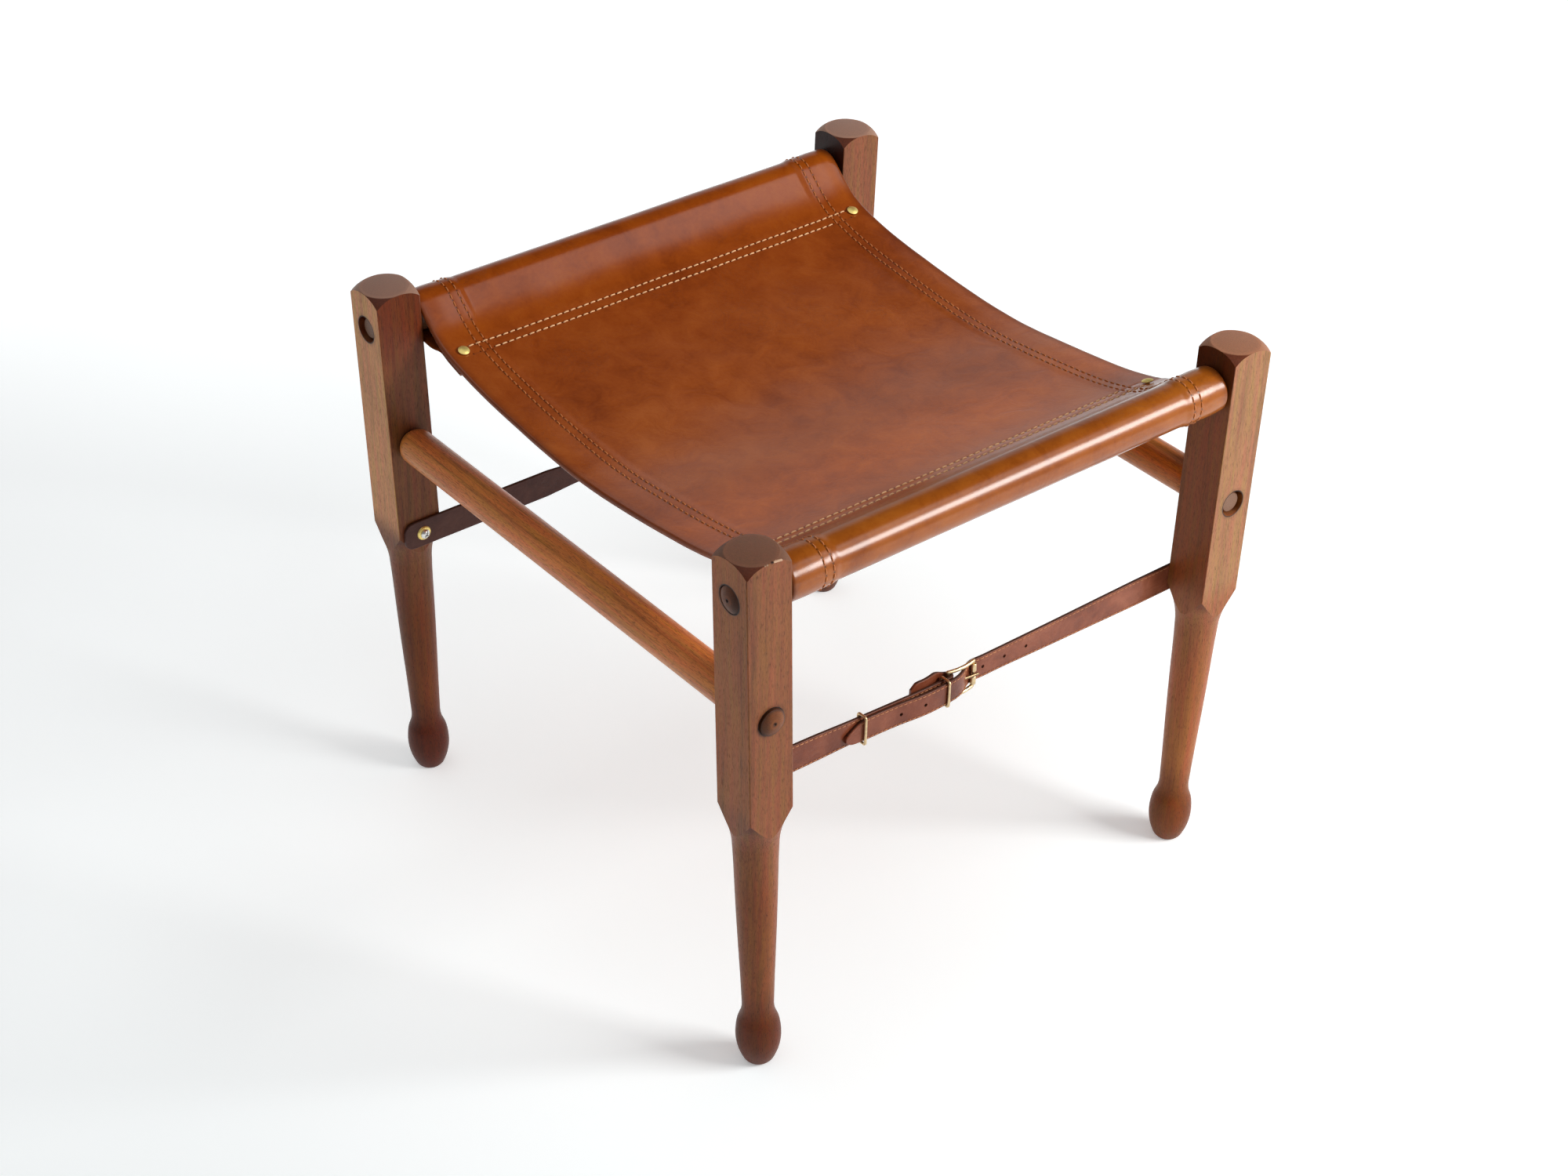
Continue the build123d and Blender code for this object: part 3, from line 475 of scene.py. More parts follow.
# per-leg face tints on the square part: painted light and shade for how the light falls on each face
leg_face_shading = {
    "leg_front_left": [(-1, 0, (1.30, 1.27, 0.92)), (0, -1, (0.97, 0.98, 0.97))],
    "leg_front_right": [(0, -1, (1.08, 1.40, 1.70)), (-1, 0, (0.71, 0.54, 0.28)), (-1, 0, (0.45, 0.36, 0.32), 418.0, 440.0)],
    "leg_rear_left": [(-1, 0, (2.80, 3.70, 3.85)), (0, -1, (0.88, 0.88, 0.77)), (0, -1, (0.78, 0.50, 0.36), 380.0, 425.0)],
    "leg_rear_right": [(-1, 0, (0.13, 0.06, 0.08), 395.0, 430.0)],
}
# per-leg gains for the tops: part finish, part painted light from above
leg_top_finish_and_light = {"leg_front_left": 1.17, "leg_front_right": 1.92, "leg_rear_left": 2.55, "leg_rear_right": 2.75}
# per-leg shank tints: painted light and shade
leg_shank_shading = {"leg_front_left": (0.94, 0.78, 0.46), "leg_front_right": (1.14, 1.00, 0.80), "leg_rear_left": (0.72, 0.49, 0.16), "leg_rear_right": (0.8, 0.7, 0.6)}
leg_foot = {"leg_front_left": (0.52, 0.35, 0.12), "leg_front_right": (0.56, 0.46, 0.18), "leg_rear_left": (0.60, 0.34, 0.12), "leg_rear_right": (0.6, 0.45, 0.30)}
for i, (nm, base) in enumerate(leg_base.items()):
    li, mi, da = tones(base, 1.16, 0.72) if nm == "leg_front_right" else tones(base)
    nk = []
    if nm == "leg_rear_left":
        nk = [(-233.5, 213.0, 172.0, 1.3, (0.42, 0.27, 0.16)), (-231.5, 211.9, 150.0, 0.9, (0.40, 0.26, 0.16)), (-235.0, 214.2, 128.0, 0.8, (0.38, 0.24, 0.15))]
    if nm == "leg_front_left":
        # lighter spots along the top's front edge, and one dark spot
        nk = [(x_, -242.5, z_, 1.15, (0.56, 0.36, 0.24)) for x_, z_ in ((-221.6, 458.6), (-220.2, 458.5), (-218.8, 458.3), (-217.4, 458.1), (-216.0, 457.8))]
        nk += [(x_, -242.5, 458.4, 0.9, (0.30, 0.19, 0.12)) for x_ in (-229.6, -227.8)] + [(-223.7, -242.4, 458.9, 1.5, (0.016, 0.008, 0.006))]
    set_mats(nodes[nm], wood(nm + "_wood", "Z", leg_pith[nm], li, mi, da, 3.0 + i * 7.3, top_z=452.0, spots=nk, faces=leg_face_shading[nm],
                             leg_xy=leg_xy[nm], top_finish_and_light_gain=leg_top_finish_and_light[nm], top_grey_finish_and_sheen=0.62 if "rear" in nm else 0.42, shank_shading_mul=leg_shank_shading[nm], foot_mul=leg_foot[nm]))

# end styles: inner and outer radius of the dark rim, end colour, rim colour, amount
BUTTON = (8.2, 10.2, (0.114, 0.030, 0.0055), (0.024, 0.007, 0.003), 0.94)
PEG = (9.2, 10.2, (0.092, 0.022, 0.0035), (0.016, 0.005, 0.003), 0.92)
SUNK = (7.4, 7.9, (0.20, 0.110, 0.072), (0.17, 0.066, 0.030), 0.95)
dowels = [("seat_rail_front", "X", (0.21, 0.080, 0.034), ((-223.6, 427.5), -240.0, 243.0, PEG, PEG)),
          ("seat_rail_rear", "X", (0.21, 0.080, 0.034), ((223.6, 427.5), -228.0, 243.0, SUNK, PEG)),
          ("stretcher_left", "Y", (0.54, 0.170, 0.040), ((-222.57, 328.8), -240.5, 240.5, BUTTON, BUTTON)),
          ("stretcher_right", "Y", (0.42, 0.118, 0.012), ((222.57, 328.8), -229.0, 240.5, SUNK, BUTTON))]
for i, (nm, ax, base, en) in enumerate(dowels):
    li, mi, da = tones(base, 1.30, 0.55)
    set_mats(nodes[nm], wood(nm + "_wood", ax, (60.0 + 10 * i, 300.0 if ax == "Y" else 380.0), li, mi, da, 41.0 + i * 5.1, rough=0.34, ring=4.0,
                             streak_mix=0.75, coat=0.22, ends=en))


# ------------------------------------------------------------------ metal
def metal(name, base, rough, seed, wear=0.25):
    mt, g, b = material(name)
    p = p_mm(g)
    a = g.noise(g.v("ADD", p, (seed, seed * 2, 0)), 0.55, 3.0, 0.6)
    f = g.noise(g.v("ADD", p, (0, seed, seed)), 3.0, 2.0, 0.5)
    k = g.m("ADD", g.m("MULTIPLY", a, 0.7), g.m("MULTIPLY", f, 0.3))
    g.put(b.inputs["Base Color"], g.ramp(k, [(0.3, tuple(v * (1 - wear) for v in base)), (0.6, base), (0.8, tuple(min(1, v * 1.08) for v in base))]))
    g.put(b.inputs["Roughness"], g.m("MULTIPLY_ADD", f, 0.14, rough - 0.05))
    b.inputs["Metallic"].default_value = 1.0
    g.put(b.inputs["Normal"], g.bump(f, 0.00003, 0.6))
    return mt


brass_pale = metal("brass_pale", (0.70, 0.52, 0.30), 0.32, 3.0, 0.35)
brass_dark = metal("brass_dark", (0.30, 0.20, 0.11), 0.38, 5.0, 0.40)
brass = metal("brass", (0.95, 0.76, 0.27), 0.47, 9.0, 0.10)
steel = metal("steel_bright", (0.80, 0.80, 0.78), 0.20, 17.0)
for nm in ("front_buckle_frame", "front_buckle_prong", "front_keeper_fixed", "front_keeper_sliding",
           "rear_buckle_frame", "rear_buckle_prong", "rear_keeper_fixed", "rear_keeper_sliding"):
    set_mats(nodes[nm], brass_pale)
for nm in ("front_buckle_prong", "rear_buckle_prong"):
    set_mats(nodes[nm], brass_dark)
for nm in ("sling_rivets", "sling_rivet_burrs", "cup_washers_left", "cup_washers_right"):
    set_mats(nodes[nm], brass)
for nm in ("strap_screws_left", "strap_screws_right"):
    set_mats(nodes[nm], steel)


# ------------------------------------------------------------------ sling leather
HEM_X, ROW_A, ROW_B = 166.0, 177.0, 170.0          # hem's inner edge, the two side rows
SEAM_1, SEAM_2 = 175.5, 167.5                      # the two rows beside each rail
PITCH, STITCH = 6.3, 4.9


def grain_leather(name, c_dark, c_mid, c_light, rough=0.36, coat=0.30, scale=1.0, spec=0.12):
    mt, g, b = material(name)
    p = p_mm(g)
    big = g.noise(p, 0.011 * scale, 3.0, 0.55, 0.6)
    med = g.noise(g.v("ADD", p, (130, 40, 7)), 0.045 * scale, 4.0, 0.6, 0.8)
    sml = g.noise(p, 0.35 * scale, 3.0, 0.6)
    k = g.m("ADD", g.m("MULTIPLY", big, 0.50), g.m("ADD", g.m("MULTIPLY", med, 0.38), g.m("MULTIPLY", sml, 0.16)))
    col = g.ramp(k, [(0.36, c_dark), (0.52, c_mid), (0.68, c_light)])
    # fine scuffs and creases: thin winding lines, darker
    cr = g.noise(g.v("ADD", p, (11, 3, 70)), 0.055 * scale, 5.0, 0.65, 1.5)
    line = g.rng(g.m("ABSOLUTE", g.m("SUBTRACT", cr, 0.5)), 0.0, 0.012, 1.0, 0.0, True)
    patch = g.rng(g.noise(g.v("ADD", p, (71, 13, 0)), 0.016 * scale, 2.0, 0.5), 0.50, 0.64, 0.0, 1.0, True)
    lines = g.m("MULTIPLY", line, patch)
    col = g.mix(g.m("MULTIPLY", lines, 0.25), col, tuple(v * 0.6 for v in c_dark))
    cell = g.voronoi(p, 1.15 * scale)
    fine = g.noise(p, 2.3 * scale, 2.0, 0.6)
    pore = g.rng(g.noise(g.v("ADD", p, (5, 55, 5)), 1.3 * scale, 1.0, 0.5), 0.66, 0.76, 0.0, 1.0, True)
    col = g.mix(g.m("MULTIPLY", pore, 0.22), col, tuple(v * 0.5 for v in c_dark))
    h = g.m("ADD", g.m("MULTIPLY", cell, 0.5), g.m("MULTIPLY", fine, 0.5))
    nrm = g.bump(h, 0.00010, 0.55)
    nrm = g.bump(g.m("SUBTRACT", g.m("MULTIPLY", med, 1.0), g.m("MULTIPLY", lines, 0.12)), 0.0011, 0.6, nrm)
    rgh = g.m("MULTIPLY_ADD", g.m("SUBTRACT", med, 0.5), 0.22, rough)
    g.put(b.inputs["Roughness"], rgh)
    g.put(b.inputs["Base Color"], col)
    b.inputs["Specular IOR Level"].default_value = spec
    b.inputs["Coat Weight"].default_value = coat
    b.inputs["Coat Roughness"].default_value = 0.22
    b.inputs["Coat IOR"].default_value = 1.37
    g.put(b.inputs["Normal"], nrm)
    return mt, g, b, col, nrm


def sling_material():
    mt, g, b, col, nrm = grain_leather("sling_grain", (0.225, 0.041, 0.0046), (0.320, 0.067, 0.0084), (0.390, 0.094, 0.0150), 0.34, 0.90, 1.0, 0.05)
    x, y, z = g.split(p_mm(g))
    u, s, _ = g.split(uv_mm(g))
    ax, as_ = g.m("ABSOLUTE", u), g.m("ABSOLUTE", s)

    def row_mask(dist_to_row, width):
        q = g.m("MULTIPLY", dist_to_row, 1.0 / width)
        return g.m("POWER", 2.718, g.m("MULTIPLY", g.m("MULTIPLY", q, q), -1.0))

    def hole_mask(along, row):
        f = g.m("FRACT", g.m("MULTIPLY_ADD", along, 1.0 / PITCH, 100.5))
        dd = g.m("MULTIPLY", g.m("ABSOLUTE", g.m("SUBTRACT", f, 0.5)), PITCH)
        q = g.m("SUBTRACT", PITCH / 2, dd)
        q = g.m("ABSOLUTE", q)
        return g.m("MULTIPLY", g.rng(q, 0.35, 0.85, 1.0, 0.0, True), row)

    shade = None
    marks = None
    lim_s = g.rng(ax, 187.0, 189.0, 1.0, 0.0)
    for srow in (S_ROW1, S_ROW2):
        dd = g.m("SUBTRACT", as_, srow)
        m1 = g.m("MULTIPLY", row_mask(dd, 1.7), lim_s)
        hm = g.m("MULTIPLY", hole_mask(u, row_mask(dd, 0.75)), lim_s)
        shade = m1 if shade is None else g.m("MAXIMUM", shade, m1)
        marks = hm if marks is None else g.m("MAXIMUM", marks, hm)
    for xrow in (ROW_A, ROW_B):
        dd = g.m("SUBTRACT", ax, xrow)
        m1 = row_mask(dd, 1.7)
        hm = hole_mask(s, row_mask(dd, 0.8))
        shade = g.m("MAXIMUM", shade, m1)
        marks = g.m("MAXIMUM", marks, hm)
    c2 = g.mix(g.m("MULTIPLY", shade, 0.08), col, (0.11, 0.021, 0.006))
    c2 = g.mix(g.m("MULTIPLY", marks, 0.80), c2, (0.030, 0.008, 0.003))
    # the rolls are tinted a little yellower, with less blue
    roll_f = g.rng(s, -S_ROW1 - 8.0, -S_ROW1 - 34.0, 0.0, 1.0, True)
    c2 = g.mix(roll_f, c2, g.mix(1.0, c2, (0.88, 1.04, 0.60), "MULTIPLY"))
    roll_r = g.rng(s, S_ROW1 - 2.0, S_ROW1 + 20.0, 0.0, 1.0, True)
    c2 = g.mix(roll_r, c2, g.mix(1.0, c2, (0.99, 0.98, 0.32), "MULTIPLY"))
    # painted shade at the back of the seat, darker and redder, and painted light at the front, lighter
    c2 = g.mix(g.rng(s, 40.0, 130.0, 0.0, 1.0, True), c2, g.mix(1.0, c2, (0.86, 0.77, 0.62), "MULTIPLY"))
    front_light_mask = g.m("MULTIPLY", g.rng(s, -50.0, -130.0, 0.0, 1.0, True), g.rng(s, -172.0, -190.0, 1.0, 0.0, True))
    c2 = g.mix(front_light_mask, c2, g.mix(1.0, c2, (1.39, 1.33, 0.71), "MULTIPLY"))
    # folded side edges are burnished darker
    edge = g.rng(ax, 196.0, 205.0, 0.0, 1.0, True)
    c2 = g.mix(g.m("MULTIPLY", edge, 0.55), c2, (0.10, 0.020, 0.006))
    g.put(b.inputs["Base Color"], c2)
    return mt


def flesh_material():
    mt, g, b = material("sling_flesh")
    p = p_mm(g)
    a = g.noise(p, 0.02, 3.0, 0.6)
    f = g.noise(p, 1.6, 4.0, 0.75)
    k = g.m("ADD", g.m("MULTIPLY", a, 0.5), g.m("MULTIPLY", f, 0.5))
    g.put(b.inputs["Base Color"], g.ramp(k, [(0.35, (0.15, 0.060, 0.028)), (0.55, (0.24, 0.105, 0.050)), (0.75, (0.32, 0.155, 0.080))]))
    b.inputs["Roughness"].default_value = 0.88
    b.inputs["Specular IOR Level"].default_value = 0.25
    b.inputs["Sheen Weight"].default_value = 0.25
    b.inputs["Sheen Roughness"].default_value = 0.6
    g.put(b.inputs["Normal"], g.bump(f, 0.0003, 0.8))
    return mt


def thread_material(name, c0, c1, rough=0.6):
    mt, g, b = material(name)
    p = p_mm(g)
    f = g.noise(p, 1.7, 3.0, 0.7)
    a = g.noise(p, 0.08, 2.0, 0.5)
    k = g.m("ADD", g.m("MULTIPLY", a, 0.5), g.m("MULTIPLY", f, 0.5))
    g.put(b.inputs["Base Color"], g.ramp(k, [(0.35, c0), (0.7, c1)]))
    b.inputs["Roughness"].default_value = rough
    w = g.n("ShaderNodeTexWave")
    w.wave_type = "BANDS"
    w.bands_direction = "DIAGONAL"
    g.put(w.inputs["Vector"], p)
    w.inputs["Scale"].default_value = 0.55
    g.put(b.inputs["Normal"], g.bump(w.outputs["Fac"], 0.00012, 0.8))
    return mt


# --- the sling's line in the YZ plane, from the middle to the flap's end
RAIL_Y, RAIL_Z, LOOP_IN, T = 223.6, 427.5, 14.5, 2.6
TAN = rad(42.0)
SAG = [(0, 391.5), (26, 392.2), (50, 394.0), (90, 398.1), (125, 402.7), (150, 407.2), (165, 410.9)]
NEAR = [(176, 414.3), (184, 417.8), (191, 422.2), (198, 427.5)]
R_OUT = LOOP_IN + T
a1 = (RAIL_Y - R_OUT * math.sin(TAN), RAIL_Z + R_OUT * math.cos(TAN))
top = clamped_spline(SAG + NEAR + [a1], (1, 0), (math.cos(TAN), math.sin(TAN)))
i_a1 = len(top) - 1
lo_dir = math.atan2(13.1, 37.1) - math.asin(LOOP_IN / math.hypot(37.1, 13.1))
arc_a = np.arange(rad(132.0), lo_dir - math.pi / 2, -0.02)[1:]
arc = np.stack([RAIL_Y + R_OUT * np.cos(arc_a), RAIL_Z + R_OUT * np.sin(arc_a)], 1)
a2 = (RAIL_Y + R_OUT * math.sin(lo_dir), RAIL_Z - R_OUT * math.cos(lo_dir))


def top_z(y):
    return float(np.interp(y, top[:, 0], top[:, 1]))


def below(y, depth):
    sl = (top_z(y + 2) - top_z(y - 2)) / 4
    k = 1 / math.sqrt(1 + sl * sl)
    return (y + sl * k * depth, top_z(y) - k * depth)


FLAP_DEPTH = 2 * T + 0.15
flap_pts = [a2, (210.0, a2[1] - 0.45), (196.0, a2[1] - 0.75)] + [below(y, FLAP_DEPTH) for y in (181.0, 176.0, 170.0, 164.0, 158.0)]
flap = clamped_spline(flap_pts, (-math.cos(lo_dir), -math.sin(lo_dir)), None)
half = np.concatenate([top, arc, flap[0:]])
keep = np.concatenate([[True], np.linalg.norm(np.diff(half, axis=0), axis=1) > 1e-4])
half = half[keep]
S_half = arclen(half)
s_of_top_y = lambda y: float(np.interp(y, half[: i_a1 + 1, 0], S_half[: i_a1 + 1]))
S_ROW1, S_ROW2 = s_of_top_y(SEAM_1), s_of_top_y(SEAM_2)
S_A1 = float(S_half[i_a1])
S_A2 = S_A1 + R_OUT * (rad(132.0) - (lo_dir - math.pi / 2))
S_END = float(S_half[-1])
tail = half[len(half) - 400:]


def s_of_flap_y(y):
    k = np.where(S_half > S_A2 + 8)[0]
    return float(np.interp(-y, -half[k, 0], S_half[k]))


S_F181, S_F1, S_F2 = s_of_flap_y(181.0), s_of_flap_y(SEAM_1), s_of_flap_y(SEAM_2)

# stations along the half line, denser by the rows and round the rail
st = [0.0]
while st[-1] < S_END:
    s_ = st[-1]
    near_row = min(abs(s_ - q) for q in (S_ROW1, S_ROW2, S_F1, S_F2))
    step = 0.6 if near_row < 3.6 else (1.5 if S_A1 - 14 < s_ < S_A2 + 12 else 2.2)
    st.append(s_ + step)
st[-1] = S_END
if st[-1] - st[-2] < 0.3:
    st.pop(-2)
half_s = np.array(st)
S = np.concatenate([-half_s[:0:-1], half_s])


def line_at(s):
    a = np.abs(s)
    yy, zz = np.interp(a, S_half, half[:, 0]), np.interp(a, S_half, half[:, 1])
    return np.sign(s) * yy, zz


Y, Z = line_at(S)
eps = 0.9
Yp, Zp = line_at(np.minimum(S + eps, S_END))
Ym, Zm = line_at(np.maximum(S - eps, -S_END))
ty, tz = Yp - Ym, Zp - Zm
ln = np.hypot(ty, tz)
ny_, nz_ = -tz / ln, ty / ln                       # outward: up in the sag, away from the rail in the loop

# columns across
X = [0.0]
while X[-1] < 204.0:
    x_ = X[-1]
    fine_x = min(abs(x_ - q) for q in (ROW_A, ROW_B, HEM_X)) < 2.6 or x_ > 199.5
    X.append(x_ + (0.65 if fine_x else 2.1))
X = np.array(X)
X = X * (202.6 / X[-1]) if X[-1] > 202.6 else X
X = np.concatenate([-X[:0:-1], X])
aS, aX = np.abs(S)[:, None], np.abs(X)[None, :]


def blend_s(v_sag, v_loop, v_flap):
    a = aS
    k1 = smooth01((a - (S_A1 - 34)) / 30.0)
    k2 = smooth01((a - S_A2) / max(1.0, S_F181 - S_A2))
    return v_sag * (1 - k1) + k1 * (v_loop * (1 - k2) + v_flap * k2)


hem = smooth01((aX - 162.0) / 7.0)
hem_in = smooth01((aX - 165.6) / 0.9)
rise = hem * blend_s(0.35, 0.85, 1.6)
# the folded side is slightly puffed between its rows and its edge
rise = rise + 0.30 * np.exp(-((aX - 189.0) / 8.0) ** 2)


def groove(d, w, depth):
    return -depth * np.exp(-(d / w) ** 2)


lim = smooth01((189.0 - aX) / 3.0)
rise = rise + lim * (groove(aS - S_ROW1, 1.05, 0.30) + groove(aS - S_ROW2, 1.05, 0.30) + groove(aS - S_F1, 1.2, 0.3) + groove(aS - S_F2, 1.2, 0.3))
rise = rise + groove(aX - ROW_A, 1.0, 0.08) + groove(aX - ROW_B, 1.0, 0.07)
# the seam pads a little between its rows and swells towards the rail
rise = rise + 0.22 * np.exp(-((aS - (S_ROW1 + 4.2)) / 2.4) ** 2) + 0.12 * np.exp(-((aS - (S_ROW1 + S_ROW2) / 2) / 1.8) ** 2)
# the rivets pull the sheet down a little
rise = rise - 0.60 * np.exp(-((aS - s_of_top_y(172.5)) ** 2 + (aX - 191.0) ** 2) / 42.0)
# slow unevenness of a hide
und = np.zeros((len(S), len(X)))
for i_, s_ in enumerate(S):
    for j_, x_ in enumerate(X):
        und[i_, j_] = noise.noise(Vector((x_ / 52.0, s_ / 47.0, 1.3))) * 0.55 + noise.noise(Vector((x_ / 21.0, s_ / 19.0, 4.7))) * 0.16
rise = rise + und * (0.75 * np.ones_like(aX) * (0.35 + 0.65 * smooth01((S_A1 - aS) / 30.0)))
tin = T + hem_in * (blend_s(4.1, 2.6, 1.45) - blend_s(T, T, T))
tin = tin - und * 0.6 * smooth01((S_A1 - 20 - aS) / 20.0)
W_s = 204.4 + 0.7 * np.cos(np.clip(Y / 190.0, -1, 1) * math.pi / 2) - 0.6 * smooth01((np.abs(S) - S_A2) / 10.0)
half_w = W_s[:, None]
xs = X[None, :] * ((half_w - 2.2) / X[-1])
OUT = np.stack([xs + 0 * und, Y[:, None] + ny_[:, None] * rise, Z[:, None] + nz_[:, None] * rise], 2)
INN = np.stack([xs + 0 * und, Y[:, None] - ny_[:, None] * tin, Z[:, None] - nz_[:, None] * tin], 2)

nS, nX = len(S), len(X)
EDGE = 6
ring_n = 2 * nX + 2 * (EDGE - 1)
verts, uvs = [], []
for i_ in range(nS):
    ring, ruv = [], []
    for j_ in range(nX):
        ring.append(OUT[i_, j_])
        ruv.append((X[j_] * MM, S[i_] * MM))
    for sgn, j_ in ((1, nX - 1), (-1, 0)):
        po, pi_ = OUT[i_, j_], INN[i_, j_]
        c_ = (po + pi_) / 2
        hf = (po - pi_) / 2
        bulge = half_w[i_, 0] - abs(c_[0])
        seq = []
        for k in range(1, EDGE):
            a = math.pi * k / EDGE
            q = c_ + hf * math.cos(a) + np.array([sgn * bulge * math.sin(a), 0, 0])
            seq.append((q, (sgn * (abs(X[j_]) + bulge * math.sin(a) * 1.3) * MM, S[i_] * MM)))
        if sgn == 1:
            ring += [q for q, _ in seq]
            ruv += [w_ for _, w_ in seq]
            for jj in range(nX - 1, -1, -1):
                ring.append(INN[i_, jj])
                ruv.append((X[jj] * MM, S[i_] * MM))
        else:
            ring += [q for q, _ in reversed(seq)]
            ruv += [w_ for _, w_ in reversed(seq)]
    verts += ring
    uvs += ruv
faces, mats_i = [], []
for i_ in range(nS - 1):
    for k in range(ring_n):
        k2 = (k + 1) % ring_n
        faces.append((i_ * ring_n + k, (i_ + 1) * ring_n + k, (i_ + 1) * ring_n + k2, i_ * ring_n + k2))
        inner = nX + EDGE - 1 <= k < 2 * nX + EDGE - 2
        if inner:
            jx = nX - 1 - (k - (nX + EDGE - 1))
            mats_i.append(1 if abs(X[jx] - 0.3) < HEM_X else 0)
        else:
            mats_i.append(0)
# close the two flap ends with strips between outer and inner rows
for i_, flip in ((0, False), (nS - 1, True)):
    o_ = i_ * ring_n
    inn = lambda j: o_ + nX + EDGE - 1 + (nX - 1 - j)
    for j_ in range(nX - 1):
        f_ = (o_ + j_, o_ + j_ + 1, inn(j_ + 1), inn(j_))
        faces.append(tuple(reversed(f_)) if flip else f_)
        mats_i.append(1)
    f_ = [o_ + nX - 1 + k for k in range(0, EDGE + 1)]
    faces.append(tuple(reversed(f_)) if flip else tuple(f_))
    mats_i.append(0)
    f_ = [o_ + 2 * nX + EDGE - 2 + k for k in range(0, EDGE)] + [o_]
    faces.append(tuple(reversed(f_)) if flip else tuple(f_))
    mats_i.append(0)
sling = new_obj("sling_sheet", verts, faces)
lay = sling.data.uv_layers.new(name="lay")
li_ = np.empty(len(sling.data.loops), dtype=np.int64)
sling.data.loops.foreach_get("vertex_index", li_)
uv_arr = np.array(uvs, dtype=np.float32)[li_]
lay.uv.foreach_set("vector", uv_arr.ravel())
sling.data.polygons.foreach_set("material_index", mats_i)
bm = bmesh.new()
bm.from_mesh(sling.data)
bmesh.ops.recalc_face_normals(bm, faces=bm.faces)
bm.to_mesh(sling.data)
bm.free()
sling.data.set_sharp_from_angle(angle=rad(50))
set_mats(sling, sling_material(), flesh_material())
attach(sling, "seat")
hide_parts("sling")


# --- stitches
def surf(s, x, which="out"):
    G_ = OUT if which == "out" else INN
    i_ = np.interp(s, S, np.arange(nS))
    j_ = np.interp(x, X, np.arange(nX))
    a, b_ = int(min(nS - 2, math.floor(i_))), int(min(nX - 2, math.floor(j_)))
    fa, fb = i_ - a, j_ - b_
    p = (G_[a, b_] * (1 - fa) * (1 - fb) + G_[a + 1, b_] * fa * (1 - fb) + G_[a, b_ + 1] * (1 - fa) * fb + G_[a + 1, b_ + 1] * fa * fb)
    ds = G_[a + 1, b_] - G_[a, b_]
    dx_ = G_[a, b_ + 1] - G_[a, b_]
    nn = np.cross(dx_, ds)
    nn /= np.linalg.norm(nn)
    if which == "in":
        nn = -nn
    return p, nn


def stitch(verts, faces, pts, nrm, r, ring=7):
    """a short thread through pts, thick in the middle; nrm: surface normals"""
    k = len(pts)
    base = len(verts)
    for i_ in range(k):
        a = pts[max(0, i_ - 1)]
        b_ = pts[min(k - 1, i_ + 1)]
        tg = (b_ - a) / np.linalg.norm(b_ - a)
        sd = np.cross(tg, nrm[i_])
        sd /= np.linalg.norm(sd)
        upn = np.cross(sd, tg)
        u_ = i_ / (k - 1)
        rr = r * (0.55 + 0.45 * math.sin(math.pi * min(1.0, max(0.0, u_))) ** 0.5)
        for q in range(ring):
            an = 2 * math.pi * q / ring
            verts.append(pts[i_] + rr * (math.cos(an) * sd + math.sin(an) * upn))
    for i_ in range(k - 1):
        for q in range(ring):
            q2 = (q + 1) % ring
            faces.append((base + i_ * ring + q, base + i_ * ring + q2, base + (i_ + 1) * ring + q2, base + (i_ + 1) * ring + q))
    faces.append(tuple(base + q for q in range(ring - 1, -1, -1)))
    faces.append(tuple(base + (k - 1) * ring + q for q in range(ring)))


def stitch_row(verts, faces, fn, c0, c1, r=0.52, proud=0.30, slant=0.25, jit=0.0, pitch=PITCH, length=STITCH):
    """fn(c, off) -> point, normal; holes at (k + 0.5) * pitch, stitches centred on k * pitch"""
    k0, k1 = int(math.ceil(c0 / pitch)), int(math.floor(c1 / pitch))
    for k in range(k0, k1 + 1):
        pts, nr = [], []
        w1 = 0.12 * math.sin(k * 12.9898 + jit) + 0.07 * math.sin(k * 4.1 + jit * 2)
        for t in (-1.0, -0.86, -0.55, 0.0, 0.55, 0.86, 1.0):
            c = k * pitch + t * (length / 2 + 0.35) + 0.15 * w1
            off = slant * t * 0.5 + w1
            p, nn = fn(c, off)
            hgt = proud * (1 - abs(t) ** 3.0) - 1.0 * max(0.0, abs(t) - 0.84) * 5.0
            pts.append(p + nn * hgt)
            nr.append(nn)
        stitch(verts, faces, pts, nr, r)


cv, cf = [], []
for sg in (1, -1):
    for q, (sr, lim_x) in enumerate(((S_ROW1, 186.5), (S_ROW2, 168.0))):
        stitch_row(cv, cf, lambda c, off, sr=sr, sg=sg: surf(sg * sr + off, c), -lim_x, lim_x, jit=q * 3 + sg, r=0.58, proud=0.38, length=3.7)
    for q, (sr, lim_x) in enumerate(((S_F1, 186.5), (S_F2, 168.0))):
        stitch_row(cv, cf, lambda c, off, sr=sr, sg=sg: surf(sg * sr + off, c), -lim_x, lim_x, jit=q * 5 + sg + 1.7, r=0.52, proud=0.26)
cream = new_obj("sling_seam_stitches", cv, cf)
set_mats(cream, thread_material("thread_cream", (0.74, 0.41, 0.19), (0.92, 0.58, 0.31)))
tv, tf = [], []
for sg in (1, -1):
    for q, xr in enumerate((ROW_A, ROW_B)):
        stitch_row(tv, tf, lambda c, off, xr=xr, sg=sg: surf(c, sg * xr + off), -S_A2 - 20, S_A2 + 20, jit=q * 2 + sg, r=0.52, proud=0.34, length=3.6)
        # below, through the folded hem, between the two seams
        s_in = S_ROW2 - 12
        stitch_row(tv, tf, lambda c, off, xr=xr, sg=sg: surf(c, sg * xr + off, "in"), -s_in, s_in, jit=q * 2 + sg + 9, r=0.46, proud=0.22)
tonal = new_obj("sling_side_stitches", tv, tf)
